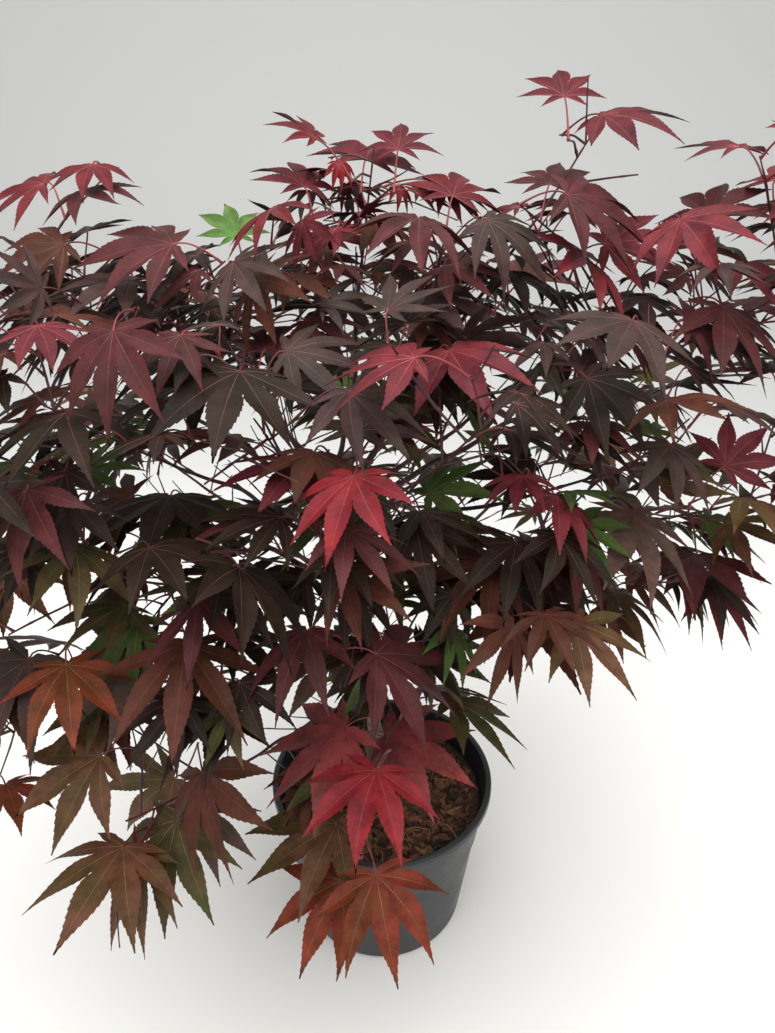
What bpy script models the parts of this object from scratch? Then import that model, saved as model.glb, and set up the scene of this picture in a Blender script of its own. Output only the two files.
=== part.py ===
"""A young red-leaved maple in a round nursery pot, as separate solids: pot, potting mix, trunk, boughs and
masses of foliage. Metres, +Z up; the origin is the middle of the pot's underside, and -Y is the front."""

import math
import random
from collections import namedtuple

import bmesh
import bpy
from mathutils import Matrix, Vector
from mathutils.bvhtree import BVHTree

UP = Vector((0, 0, 1))
GAP = 0.0003  # between pieces that meet, such as a bough and the stem of its foliage

# The pot: a thin tapered tub with a rolled lip and a shallow step under it.
POT_HEIGHT = 0.178
POT_LIP_RADIUS = 0.110
POT_BASE_RADIUS = 0.084
POT_WALL = 0.0022
POT_LIP_HEIGHT = 0.009
POT_LIP_OVERHANG = 0.0035
POT_STEP_DROP = 0.050
POT_STEP_DEPTH = 0.0012
POT_SIDES = 32
DRAIN_HOLES = 8
DRAIN_RADIUS = 0.006

# The potting mix: it fills the pot to a little below the lip and heaps up round the trunk.
MIX_TOP = 0.154
MIX_CROWN = 0.006
MIX_RINGS = 3

# The trunk: slender, leaning to the left as it rises, with a small flare where it meets the mix.
TRUNK_FOOT = MIX_TOP + MIX_CROWN + GAP
TRUNK_TOP = 0.505
TRUNK_LEAN = -0.044
TRUNK_BEND = 0.006
TRUNK_UPRIGHT = 0.02
TRUNK_RADIUS = 0.0072
TRUNK_TOP_RADIUS = 0.0048
TRUNK_FLARE = 0.0115
TRUNK_FLARE_HEIGHT = 0.020
TRUNK_RINGS = 9
TRUNK_SIDES = 10

# Boughs, twigs and leaf stalks. A bough is thicker the longer it is.
BOUGH_RADIUS = 0.0018
BOUGH_GAIN = 0.0045
BOUGH_TIP_RADIUS = 0.0019
BOUGH_RINGS = 5
BOUGH_SIDES = 6
STEM_TIP_RADIUS = 0.0016
TWIG_RADIUS = 0.0012
TWIG_TIP_RADIUS = 0.0010
SHOOT_FLATNESS = 0.45
END_NODE = 0.95  # where pairs of leaves leave a twig, as shares of its length
MIDDLE_NODE = 0.54
STALK_RADIUS = 0.0007
STALK_FOOT_RADIUS = 0.00045
STALK_LENGTH = (0.024, 0.040)

# One leaf: five lobes that spread from its heart and droop. Lengths are shares of the middle lobe's.
LOBES = ((-92, 0.66), (-46, 0.92), (0, 1.0), (46, 0.92), (92, 0.66))
NOTCH = 0.38
LEAF_DROOP = (0.16, 0.42)
LEAF_THICKNESS = 0.0022
LEAF_SPREAD = 0.16  # how far a leaf's length strays from its mass's, as a share

Mass = namedtuple("Mass", "name foot x y z reach leaf shoots")
# foot: where its bough leaves the trunk, as a share of the trunk's height. x, y and z: the middle of its
# space. reach: the radius of its space. leaf: the length of a middle lobe. shoots: twigs besides its stem.
MASSES = (
    Mass("sprig_middle", 1.000, -0.005, 0.030, 0.728, 0.100, 0.038, 1),
    Mass("sprig_right", 0.945, 0.130, 0.020, 0.745, 0.100, 0.042, 1),
    Mass("crest_left", 0.930, -0.230, -0.040, 0.660, 0.135, 0.058, 2),
    Mass("crest_middle_left", 0.960, -0.110, -0.005, 0.650, 0.125, 0.056, 2),
    Mass("crest_middle_right", 0.975, 0.030, -0.020, 0.650, 0.125, 0.056, 2),
    Mass("crest_right", 0.905, 0.145, -0.015, 0.640, 0.125, 0.058, 1),
    Mass("crest_far_right", 0.875, 0.255, -0.015, 0.660, 0.140, 0.060, 1),
    Mass("crest_back_left", 0.950, -0.145, 0.135, 0.600, 0.140, 0.064, 1),
    Mass("crest_back_right", 0.920, 0.095, 0.145, 0.605, 0.140, 0.064, 1),
    Mass("brow_left", 0.850, -0.175, -0.135, 0.625, 0.125, 0.064, 1),
    Mass("brow_middle", 0.905, -0.065, -0.145, 0.620, 0.120, 0.062, 2),
    Mass("brow_right", 0.835, 0.050, -0.150, 0.620, 0.120, 0.062, 2),
    Mass("brow_far_right", 0.800, 0.170, -0.110, 0.590, 0.125, 0.062, 1),
    Mass("side_left", 0.710, -0.280, -0.020, 0.545, 0.140, 0.068, 1),
    Mass("side_right", 0.660, 0.290, -0.050, 0.535, 0.140, 0.068, 1),
    Mass("waist_left", 0.620, -0.180, -0.150, 0.530, 0.130, 0.068, 1),
    Mass("waist_middle", 0.560, -0.035, -0.165, 0.535, 0.125, 0.064, 2),
    Mass("waist_right", 0.640, 0.095, -0.125, 0.530, 0.125, 0.064, 2),
    Mass("hip_left", 0.500, -0.115, -0.165, 0.445, 0.120, 0.068, 1),
    Mass("hip_middle", 0.400, 0.015, -0.130, 0.448, 0.120, 0.066, 1),
    Mass("back_left", 0.670, -0.235, 0.120, 0.505, 0.140, 0.068, 1),
    Mass("back_middle", 0.640, -0.030, 0.215, 0.515, 0.140, 0.068, 2),
    Mass("back_right", 0.580, 0.200, 0.140, 0.505, 0.140, 0.068, 1),
    Mass("skirt_left", 0.440, -0.230, -0.130, 0.410, 0.130, 0.072, 2),
    Mass("skirt_front_left", 0.300, -0.155, -0.175, 0.345, 0.140, 0.072, 2),
    Mass("skirt_front", 0.220, -0.015, -0.140, 0.310, 0.140, 0.068, 0),
    Mass("skirt_right", 0.380, 0.200, -0.010, 0.420, 0.140, 0.066, 2),
    Mass("skirt_back", 0.340, -0.020, 0.150, 0.395, 0.140, 0.072, 2),
)

Feature = namedtuple("Feature", "mass x y z heading tilt roll length")
# A leaf that stands out, on a shoot of its own. x, y and z: its heart. heading: where its middle lobe
# points, with 0 to the right and -90 to the front. tilt: how far the blade leans that way from level.
# roll: how far it then turns about its middle lobe.
FEATURES = (
    Feature("waist_middle", -0.013, -0.195, 0.621, -108, 16, 12, 0.054),
    Feature("skirt_front", -0.002, -0.202, 0.400, -108, 4, 0, 0.068),
    Feature("crest_far_right", 0.193, -0.045, 0.727, -84, 4, 24, 0.060),
    Feature("brow_left", -0.197, -0.130, 0.685, -60, 4, 0, 0.042),
    Feature("brow_right", 0.020, -0.180, 0.684, 174, 4, -6, 0.054),
    Feature("brow_right", 0.044, -0.102, 0.660, -78, -2, 12, 0.070),
    Feature("skirt_front", -0.003, -0.205, 0.295, -78, 16, 6, 0.072),
    Feature("skirt_front", -0.030, -0.185, 0.262, -120, 16, -12, 0.072),
    Feature("skirt_left", -0.200, -0.190, 0.482, -72, 10, 0, 0.060),
    Feature("skirt_left", -0.273, -0.175, 0.356, -54, -14, 0, 0.048),
    Feature("sprig_middle", -0.044, 0.015, 0.768, 150, -38, 6, 0.036),
    Feature("crest_middle_right", 0.049, -0.015, 0.736, 78, -20, 12, 0.054),
    Feature("crest_right", 0.152, -0.025, 0.707, 0, -14, 24, 0.061),
    Feature("crest_left", -0.192, 0.000, 0.753, -90, 4, 0, 0.042),
    Feature("waist_right", 0.088, -0.150, 0.597, -108, -2, 6, 0.036),
    Feature("waist_right", 0.112, -0.142, 0.578, -60, 16, -24, 0.048),
    Feature("sprig_middle", 0.013, 0.030, 0.759, 84, -32, 0, 0.042),
    Feature("sprig_middle", -0.010, 0.045, 0.750, 84, -14, 12, 0.060),
    Feature("sprig_middle", -0.052, 0.010, 0.738, 108, -26, 12, 0.048),
    Feature("sprig_right", 0.123, 0.020, 0.793, 90, -32, 0, 0.042),
    Feature("sprig_right", 0.151, 0.025, 0.781, -42, -8, 12, 0.060),
    Feature("crest_far_right", 0.242, 0.010, 0.763, 108, -8, 0, 0.048),
    Feature("skirt_front", -0.025, -0.155, 0.393, -150, 22, 0, 0.080),
    Feature("skirt_front", 0.007, -0.113, 0.343, -24, 4, 12, 0.078),
    Feature("side_right", 0.241, -0.080, 0.568, 30, -38, 30, 0.048),
    Feature("sprig_right", 0.121, 0.032, 0.736, 72, -20, 0, 0.049),
    Feature("crest_right", 0.119, -0.045, 0.742, 0, 16, 24, 0.071),
    Feature("crest_far_right", 0.224, -0.010, 0.721, 66, -32, -12, 0.054),
    Feature("crest_left", -0.130, -0.060, 0.715, -174, -2, -18, 0.066),
    Feature("brow_left", -0.142, -0.166, 0.694, -96, 40, 12, 0.060),
    Feature("hip_middle", -0.002, -0.190, 0.491, -12, 22, 6, 0.072),
    Feature("crest_far_right", 0.221, -0.070, 0.678, -66, 22, -12, 0.066),
    Feature("side_right", 0.239, -0.070, 0.487, -114, -14, 6, 0.075),
    Feature("brow_right", 0.032, -0.120, 0.568, 18, -32, 0, 0.055),
    Feature("skirt_front", 0.055, -0.110, 0.378, -12, 16, -18, 0.072),
    Feature("skirt_front_left", -0.146, -0.195, 0.342, -102, 34, 18, 0.078),
    Feature("waist_left", -0.173, -0.140, 0.492, -126, -14, 0, 0.054),
    Feature("skirt_front", -0.034, -0.160, 0.296, -150, 4, -12, 0.078),
    Feature("skirt_front_left", -0.192, -0.190, 0.401, -156, 16, -18, 0.072),
    Feature("side_right", 0.202, -0.070, 0.548, 42, -32, -6, 0.067),
    Feature("skirt_front_left", -0.177, -0.220, 0.345, -108, -8, 0, 0.074),
    Feature("skirt_right", 0.173, -0.070, 0.438, -24, 28, 0, 0.048),
    Feature("side_left", -0.263, -0.110, 0.517, -102, 64, -6, 0.066),
    Feature("crest_left", -0.206, -0.040, 0.710, -156, 4, -24, 0.048),
    Feature("waist_middle", -0.038, -0.155, 0.616, -102, -8, -6, 0.049),
    Feature("skirt_front_left", -0.122, -0.195, 0.391, -72, 22, 48, 0.074),
    Feature("waist_right", 0.103, -0.120, 0.484, -72, -2, 6, 0.078),
    Feature("crest_left", -0.161, -0.055, 0.691, -156, -8, 0, 0.063),
    Feature("hip_left", -0.028, -0.172, 0.474, 162, 10, 0, 0.072),
    Feature("waist_left", -0.161, -0.160, 0.474, -150, 34, -18, 0.080),
    Feature("brow_far_right", 0.150, -0.120, 0.685, -114, -2, -12, 0.061),
    Feature("brow_far_right", 0.173, -0.105, 0.544, -78, 16, -18, 0.072),
    Feature("waist_left", -0.184, -0.160, 0.583, -84, 4, 0, 0.048),
    Feature("brow_middle", -0.079, -0.150, 0.665, -96, 4, -6, 0.072),
    Feature("brow_far_right", 0.130, -0.110, 0.645, -48, 16, 12, 0.060),
    Feature("waist_left", -0.134, -0.190, 0.571, -54, -8, 0, 0.054),
    Feature("waist_left", -0.139, -0.115, 0.564, -90, -14, 0, 0.074),
    Feature("waist_middle", -0.081, -0.200, 0.564, -48, 22, -36, 0.072),
)
GOLDEN_ANGLE = math.radians(137.5)
LEAF_TRIES = 10  # how often a leaf that has no room is tried again
SEED = 11
SOLVER = "MANIFOLD"

# ---------------------------------------------------------------------------------------- the scene


def clear_scene():
    for stray in list(bpy.data.objects):
        bpy.data.objects.remove(stray, do_unlink=True)


def collection_named(name):
    made = bpy.data.collections.new(name)
    bpy.context.scene.collection.children.link(made)
    return made


def material(name, colour, roughness, metallic=0.0):
    made = bpy.data.materials.new(name)
    made.use_nodes = True
    shader = made.node_tree.nodes["Principled BSDF"]
    shader.inputs["Base Color"].default_value = (*colour, 1.0)
    shader.inputs["Roughness"].default_value = roughness
    shader.inputs["Metallic"].default_value = metallic
    return made


def mesh_object(name, mesh, collection, finish=None):
    made = bpy.data.objects.new(name, mesh)
    collection.objects.link(made)
    if finish:
        mesh.materials.clear()
        mesh.materials.append(finish)
    return made


def evaluated_mesh(source):
    """The object as its modifiers or its bevel leave it, as a mesh of its own."""
    bpy.context.view_layer.update()
    graph = bpy.context.evaluated_depsgraph_get()
    return bpy.data.meshes.new_from_object(source.evaluated_get(graph))


def weld_caps(mesh):
    """Joins the loose caps of a bevelled curve to its sides."""
    shape = bmesh.new()
    shape.from_mesh(mesh)
    bmesh.ops.remove_doubles(shape, verts=shape.verts, dist=1e-6)
    bmesh.ops.recalc_face_normals(shape, faces=shape.faces)
    shape.to_mesh(mesh)
    shape.free()


# ------------------------------------------------------------------------------------ pot and mix


def turned(name, profile, sides, collection, finish):
    """A solid turned from (radius, height) points, listed from the axis down the outer side and back."""
    mesh = bpy.data.meshes.new(name)
    points = [(radius, 0, height) for radius, height in profile]
    mesh.from_pydata(points, [(i, i + 1) for i in range(len(points) - 1)], [])
    made = mesh_object(name, mesh, collection, finish)
    screw = made.modifiers.new("turn", "SCREW")
    screw.steps = screw.render_steps = sides
    screw.use_merge_vertices = True
    screw.merge_threshold = 0.00005
    screw.use_normal_calculate = True
    return made


def pot_radius(height):
    """Outer radius of the tapered wall at a height."""
    top = POT_LIP_RADIUS - POT_LIP_OVERHANG
    return POT_BASE_RADIUS + (top - POT_BASE_RADIUS) * height / POT_HEIGHT


def make_pot(collection, cutters):
    """The tub, turned in one piece, with drain holes round the edge of its floor."""
    under_lip = POT_HEIGHT - POT_LIP_HEIGHT
    step = under_lip - POT_STEP_DROP
    profile = [
        (0, POT_WALL),
        (POT_BASE_RADIUS - 2 * POT_WALL, POT_WALL),
        (pot_radius(under_lip) - POT_WALL, under_lip),
        (pot_radius(under_lip) - POT_WALL * 0.5, POT_HEIGHT - 0.001),
        (POT_LIP_RADIUS - 0.002, POT_HEIGHT),
        (POT_LIP_RADIUS, POT_HEIGHT - 0.002),
        (POT_LIP_RADIUS, under_lip + 0.0015),
        (POT_LIP_RADIUS - 0.0015, under_lip),
        (pot_radius(under_lip), under_lip),
        (pot_radius(step), step),
        (pot_radius(step) - POT_STEP_DEPTH, step - POT_STEP_DEPTH),
        (POT_BASE_RADIUS, 0.003),
        (POT_BASE_RADIUS - 0.003, 0),
        (0, 0),
    ]
    black = material("black_plastic", (0.022, 0.028, 0.031), 0.42)
    pot = turned("pot", profile, POT_SIDES, collection, black)
    for hole in range(DRAIN_HOLES):
        turn = 2 * math.pi * (hole + 0.5) / DRAIN_HOLES
        drill = bpy.data.meshes.new(f"drain_{hole}")
        shape = bmesh.new()
        bmesh.ops.create_cone(
            shape, cap_ends=True, segments=6, radius1=DRAIN_RADIUS, radius2=DRAIN_RADIUS, depth=0.02
        )
        shape.to_mesh(drill)
        shape.free()
        cutter = mesh_object(f"drain_{hole}", drill, cutters)
        out = POT_BASE_RADIUS * 0.80
        cutter.location = (out * math.cos(turn), out * math.sin(turn), 0)
        cutter.hide_render = True
        cutter.display_type = "WIRE"
    cut = pot.modifiers.new("drain holes", "BOOLEAN")
    cut.operation = "DIFFERENCE"
    cut.operand_type = "COLLECTION"
    cut.collection = cutters
    return pot


def make_mix(collection):
    """The root ball, one solid that fills the tub and is heaped round the trunk."""
    low = POT_WALL + GAP
    wall_gap = POT_WALL + POT_STEP_DEPTH + 2 * GAP
    profile = [(0, MIX_TOP + MIX_CROWN), (TRUNK_FLARE * 1.3, MIX_TOP + MIX_CROWN)]
    edge = pot_radius(MIX_TOP) - wall_gap
    for ring in range(1, MIX_RINGS + 1):
        share = ring / MIX_RINGS
        radius = TRUNK_FLARE * 1.3 + (edge - TRUNK_FLARE * 1.3) * share
        profile.append((radius, MIX_TOP + MIX_CROWN * (1 - share) ** 1.5))
    profile += [(POT_BASE_RADIUS - 2 * POT_WALL - wall_gap, low), (0, low)]
    brown = material("potting_mix", (0.11, 0.06, 0.035), 0.95)
    return turned("potting_mix", profile, POT_SIDES, collection, brown)


# ------------------------------------------------------------------------------------------ limbs


def trunk_axis(share):
    """The middle of the trunk, from its foot (0), where it stands upright, to its top (1)."""
    height = TRUNK_FOOT + (TRUNK_TOP - TRUNK_FOOT) * share
    bent = max(0.0, share - TRUNK_UPRIGHT) / (1 - TRUNK_UPRIGHT)
    return Vector((TRUNK_LEAN * bent**1.15, TRUNK_BEND * math.sin(2 * math.pi * bent), height))


def trunk_radius(share):
    flare = max(0.0, 1 - share * (TRUNK_TOP - TRUNK_FOOT) / TRUNK_FLARE_HEIGHT) ** 2
    taper = TRUNK_RADIUS + (TRUNK_TOP_RADIUS - TRUNK_RADIUS) * share
    return taper + (TRUNK_FLARE - TRUNK_RADIUS) * flare


def trunk_line():
    shares = [0.0, TRUNK_UPRIGHT, 0.05] + [0.05 + 0.95 * i / TRUNK_RINGS for i in range(1, TRUNK_RINGS + 1)]
    return [trunk_axis(s) for s in shares], [trunk_radius(s) for s in shares]


def bezier(a, b, c, d, t):
    s = 1 - t
    return a * s**3 + b * 3 * s * s * t + c * 3 * s * t * t + d * t**3


def blend(first, last, count):
    return [first + (last - first) * i / (count - 1) for i in range(count)]


def mass_centre(mass):
    return Vector((mass.x, mass.y, mass.z))


def bough_line(mass):
    """A bough's middle line: up and out of the trunk, then over to the inner edge of its foliage."""
    foot = trunk_axis(mass.foot)
    outward = (mass_centre(mass) - foot).normalized()
    tip = mass_centre(mass) - outward * mass.reach * 0.6
    span = (tip - foot).length
    level = Vector((outward.x, outward.y, 0)).normalized()
    leaving = (level + UP * (0.6 + 0.9 * mass.foot)).normalized()
    arriving = (outward - UP * 0.1).normalized()
    start = foot + level * trunk_radius(mass.foot) * 0.4 if mass.foot < 1 else foot - UP * 0.002
    line = [bezier(start, start + leaving * span * 0.35, tip - arriving * span * 0.3, tip, i / BOUGH_RINGS)
            for i in range(BOUGH_RINGS + 1)]
    return line, blend(BOUGH_RADIUS + BOUGH_GAIN * span, BOUGH_TIP_RADIUS, len(line))


def limb(name, line, radii, sides, collection, finish=None):
    """A closed tapering limb: a bevelled curve made a mesh, with its caps welded."""
    curve = bpy.data.curves.new(name, "CURVE")
    curve.dimensions = "3D"
    curve.use_fill_caps = True
    curve.twist_mode = "MINIMUM"
    curve.bevel_depth = 1.0
    curve.bevel_resolution = (sides - 4) // 2
    spline = curve.splines.new("POLY")
    spline.points.add(len(line) - 1)
    for point, place, radius in zip(spline.points, line, radii):
        point.co = (*place, 1)
        point.radius = radius
    guide = bpy.data.objects.new(name + "_guide", curve)
    collection.objects.link(guide)
    mesh = evaluated_mesh(guide)
    mesh.name = name
    weld_caps(mesh)
    bpy.data.objects.remove(guide, do_unlink=True)
    return mesh_object(name, mesh, collection, finish)


def make_limbs(collection):
    bark = material("bark", (0.085, 0.055, 0.045), 0.8)
    limb("trunk", *trunk_line(), TRUNK_SIDES, collection, bark)
    for mass in MASSES:
        limb("bough_" + mass.name, *bough_line(mass), BOUGH_SIDES, collection, bark)


def fit_boughs(collection, cutters):
    """Cuts each bough clear of the trunk's surface, all with one sleeve that is a gap wider than it."""
    line, radii = trunk_line()
    line[0], line[-1] = line[0] - UP * GAP, line[-1] + (line[-1] - line[-2]).normalized() * GAP
    sleeve = limb("trunk_gap", line, [r + GAP for r in radii], TRUNK_SIDES, cutters)
    sleeve.hide_render = True
    sleeve.display_type = "WIRE"
    for mass in MASSES:
        cut = collection.objects["bough_" + mass.name].modifiers.new("trunk", "BOOLEAN")
        cut.operation = "DIFFERENCE"
        cut.object = sleeve


# ---------------------------------------------------------------------------------------- foliage

Leaf = namedtuple("Leaf", "mass root heart ahead face length droop")
Twig = namedtuple("Twig", "mass line radii")
Piece = namedtuple("Piece", "kind owner centre radius tree")


def rod_shape(line, radii, sides=3):
    """Corners and triangles of a closed tapering rod along a line. A level rod's first corner is on top,
    so that a pair of stalks leaves a three-sided one through the middle of its two upper faces."""
    ahead = (line[-1] - line[0]).normalized()
    first = UP - ahead * ahead.z
    first = (first if first.length > 0.2 else ahead.orthogonal()).normalized()
    second = ahead.cross(first)
    corners, faces = [], []
    for place, radius in zip(line, radii):
        for k in range(sides):
            turn = 2 * math.pi * k / sides
            corners.append(place + (first * math.cos(turn) + second * math.sin(turn)) * radius)
    for ring in range(len(line) - 1):
        for k in range(sides):
            a, b = ring * sides + k, ring * sides + (k + 1) % sides
            faces += [(a, b, b + sides), (a, b + sides, a + sides)]
    end = len(corners) - sides
    faces += [(0, k + 1, k) for k in range(1, sides - 1)]
    faces += [(end, end + k, end + k + 1) for k in range(1, sides - 1)]
    return corners, faces


def leaf_shape(leaf):
    """Corners and triangles of a leaf: two fans over one lobed outline, then a stalk with its foot sunk
    in the twig. The stalk's triangles are the last seven."""
    across = leaf.face.cross(leaf.ahead)

    def place(angle, share, drop):
        turn = math.radians(angle)
        way = leaf.ahead * math.cos(turn) + across * math.sin(turn)
        return leaf.heart + (way * share - leaf.face * drop * share) * leaf.length

    outline = []
    for index, (angle, share) in enumerate(LOBES):
        if index:
            outline.append(place((angle + LOBES[index - 1][0]) / 2, NOTCH, leaf.droop * 0.35))
        outline.append(place(angle, share * (1 - 0.3 * leaf.droop**2), leaf.droop))
    half = STALK_RADIUS * 1.4
    back = leaf.heart - leaf.ahead * half * 2
    outline += [back + across * half, back - across * half]
    top = leaf.heart + leaf.face * LEAF_THICKNESS * 0.3
    under = leaf.heart - leaf.face * LEAF_THICKNESS * 0.7
    count = len(outline)
    corners = outline + [top, under]
    faces = [(count, i, (i + 1) % count) for i in range(count)]
    faces += [(count + 1, (i + 1) % count, i) for i in range(count) if i != count - 2]
    socket = (count - 2, count - 1, count + 1)
    middle = sum((corners[i] for i in socket), Vector()) / 3
    along = (leaf.root - middle).normalized()
    for i in socket:
        side = corners[i] - middle
        side -= along * side.dot(along)
        corners.append(leaf.root + side.normalized() * STALK_FOOT_RADIUS)
    foot = (count + 2, count + 3, count + 4)
    for k in range(3):
        a, b = socket[k], socket[(k + 1) % 3]
        c, d = foot[k], foot[(k + 1) % 3]
        faces += [(b, a, c), (b, c, d)]
    faces.append((foot[2], foot[1], foot[0]))
    return corners, faces


def piece(kind, owner, corners, faces):
    """A placed piece, as later ones are tested against it. Its owner is the twig that it grows from."""
    low = Vector(min(c[i] for c in corners) for i in range(3))
    high = Vector(max(c[i] for c in corners) for i in range(3))
    tree = BVHTree.FromPolygons(corners, faces)
    return Piece(kind, owner, (low + high) / 2, (high - low).length / 2, tree)


def leaf_pieces(leaf, twig):
    corners, faces = leaf_shape(leaf)
    blade = piece("blade", twig, corners, faces[:-7])
    return blade, piece("stalk", twig, corners, faces[-7:])


def touches(new, others):
    """Whether a piece runs into another. A stalk may enter its own twig and meet that twig's stalks, and
    a twig the stem that it grows from."""
    for other in others:
        if new.kind == "stalk" and other.owner == new.owner and other.kind in ("stalk", "twig"):
            continue
        if new.kind == "twig" and other.owner == new.owner:
            continue
        if (other.centre - new.centre).length > other.radius + new.radius:
            continue
        if new.tree.overlap(other.tree):
            return True
    return False


def shoot_line(start, way, length, rise, count):
    """A twig that leaves along way and bends up, or down where rise is negative."""
    return [start + way * length * t + UP * rise * length * t * t
            for t in (i / (count - 1) for i in range(count))]


def point_on(line, share):
    """A point of a line and the line's direction there."""
    spot = share * (len(line) - 1)
    step = min(int(spot), len(line) - 2)
    return line[step].lerp(line[step + 1], spot - step), (line[step + 1] - line[step]).normalized()


def level_way(degrees):
    return Vector((math.cos(math.radians(degrees)), math.sin(math.radians(degrees)), 0))


def feature_leaf(feature):
    """A feature's leaf, with its root behind its heart and a little above or below it."""
    ahead, tilt = level_way(feature.heading), math.radians(feature.tilt)
    heart = Vector((feature.x, feature.y, feature.z))
    root = heart - ahead * 0.030 + UP * (0.022 * math.sin(tilt) - 0.012)
    face = UP * math.cos(tilt) + ahead * math.sin(tilt)
    ahead = ahead * math.cos(tilt) - UP * math.sin(tilt)
    face = Matrix.Rotation(math.radians(feature.roll), 3, ahead) @ face
    return Leaf(feature.mass, root, heart, ahead, face, feature.length, 0.30)


def feature_shoot(stem, leaf):
    """A shoot from the part of the stem nearest the feature's root, ending there."""
    start = min((point_on(stem, s / 10)[0] for s in range(1, 10)), key=lambda p: (p - leaf.root).length)
    span = leaf.root - start
    bend = UP * span.length * 0.10
    return [start, start + span * 0.5 + bend, leaf.root + span.normalized() * 0.0025]


def shoots_of(mass, stem, chance):
    """Twigs that leave the stem by turns of the golden angle, spread evenly over the mass's space."""
    way = (stem[-1] - stem[0]).normalized()
    side = way.orthogonal().normalized()
    twist = chance.uniform(0, 2 * math.pi)
    lines = []
    for k in range(mass.shoots):
        share = (k + 0.6) / mass.shoots
        start = point_on(stem, 0.12 + 0.76 * share)[0]
        around = Matrix.Rotation(twist + GOLDEN_ANGLE * k, 3, way) @ side
        spread = math.radians(78 - 30 * share)
        out = (way * math.cos(spread) + around * math.sin(spread)).normalized()
        out.z = out.z * SHOOT_FLATNESS + 0.12
        out.normalize()
        length = mass.reach * chance.uniform(0.50, 0.68)
        lines.append(shoot_line(start, out, length, chance.uniform(-0.05, 0.16), 3))
    return lines


def leaf_at(mass, twig_way, side, root, young, chance):
    """One try at a leaf: its stalk leaves the twig on one side, and its blade tips outward and down."""
    outward = Vector((root.x - TRUNK_LEAN * 0.5, root.y, 0)) * 3 + (root - mass_centre(mass)) * 0.6
    outward.z = 0
    outward.normalize()
    low = min(1.0, max(0.0, (0.66 - root.z) / 0.34))
    stalk = (side * 0.75 + twig_way * 0.45 + UP * 0.45 + outward * (0.25 + 0.5 * low)).normalized()
    heart = root + stalk * chance.uniform(*STALK_LENGTH) * (0.75 if young else 1.0)
    tilt = math.radians(chance.gauss(8 + 18 * low, 13))
    face = (UP * math.cos(tilt) + outward * math.sin(tilt)).normalized()
    level = Vector((stalk.x, stalk.y, 0)).normalized()
    ahead = (level * 0.8 + outward * (0.9 + 0.7 * low)).normalized()
    ahead += level * max(0.0, 0.5 - ahead.dot(level)) * 1.5 - UP * 0.2 * low
    ahead = Matrix.Rotation(chance.gauss(0, 0.35), 3, "Z") @ ahead
    ahead = (ahead - face * ahead.dot(face)).normalized()
    roll = Matrix.Rotation(chance.gauss(0, 0.18), 3, ahead)
    size = mass.leaf * (1 + chance.uniform(-LEAF_SPREAD, LEAF_SPREAD)) * (0.86 if young else 1.0)
    return Leaf(mass.name, root, heart, ahead, (roll @ face).normalized(), size,
                chance.uniform(*LEAF_DROOP))


def leaf_pair(mass, twig, turn, line, share, standing, chance):
    """Up to two leaves, opposite each other, at a node of a twig."""
    root, way = point_on(line, share)
    side = way.cross(UP).normalized()
    if turn % 2:
        side = (side * 0.75 + UP * 0.5).normalized()
    found = []
    for hand in (side, -side):
        for _ in range(LEAF_TRIES):
            leaf = leaf_at(mass, way, hand, root, share > 0.9, chance)
            if placed(leaf, mass, twig, standing):
                found.append(leaf)
                break
    return found


def placed(leaf, mass, twig, standing):
    """Adds a leaf to what stands if its stalk comes from behind it, and it keeps to its mass's space and
    touches nothing."""
    back = (leaf.root - leaf.heart).normalized()
    if back.dot(leaf.ahead) > -0.35 or back.dot(leaf.face) > 0.55:
        return False
    corners = leaf_shape(leaf)[0][:-3]
    if any((corner - mass_centre(mass)).length > mass.reach for corner in corners):
        return False
    both = leaf_pieces(leaf, twig)
    if any(touches(half, standing) for half in both):
        return False
    standing.extend(both)
    return True


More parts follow.
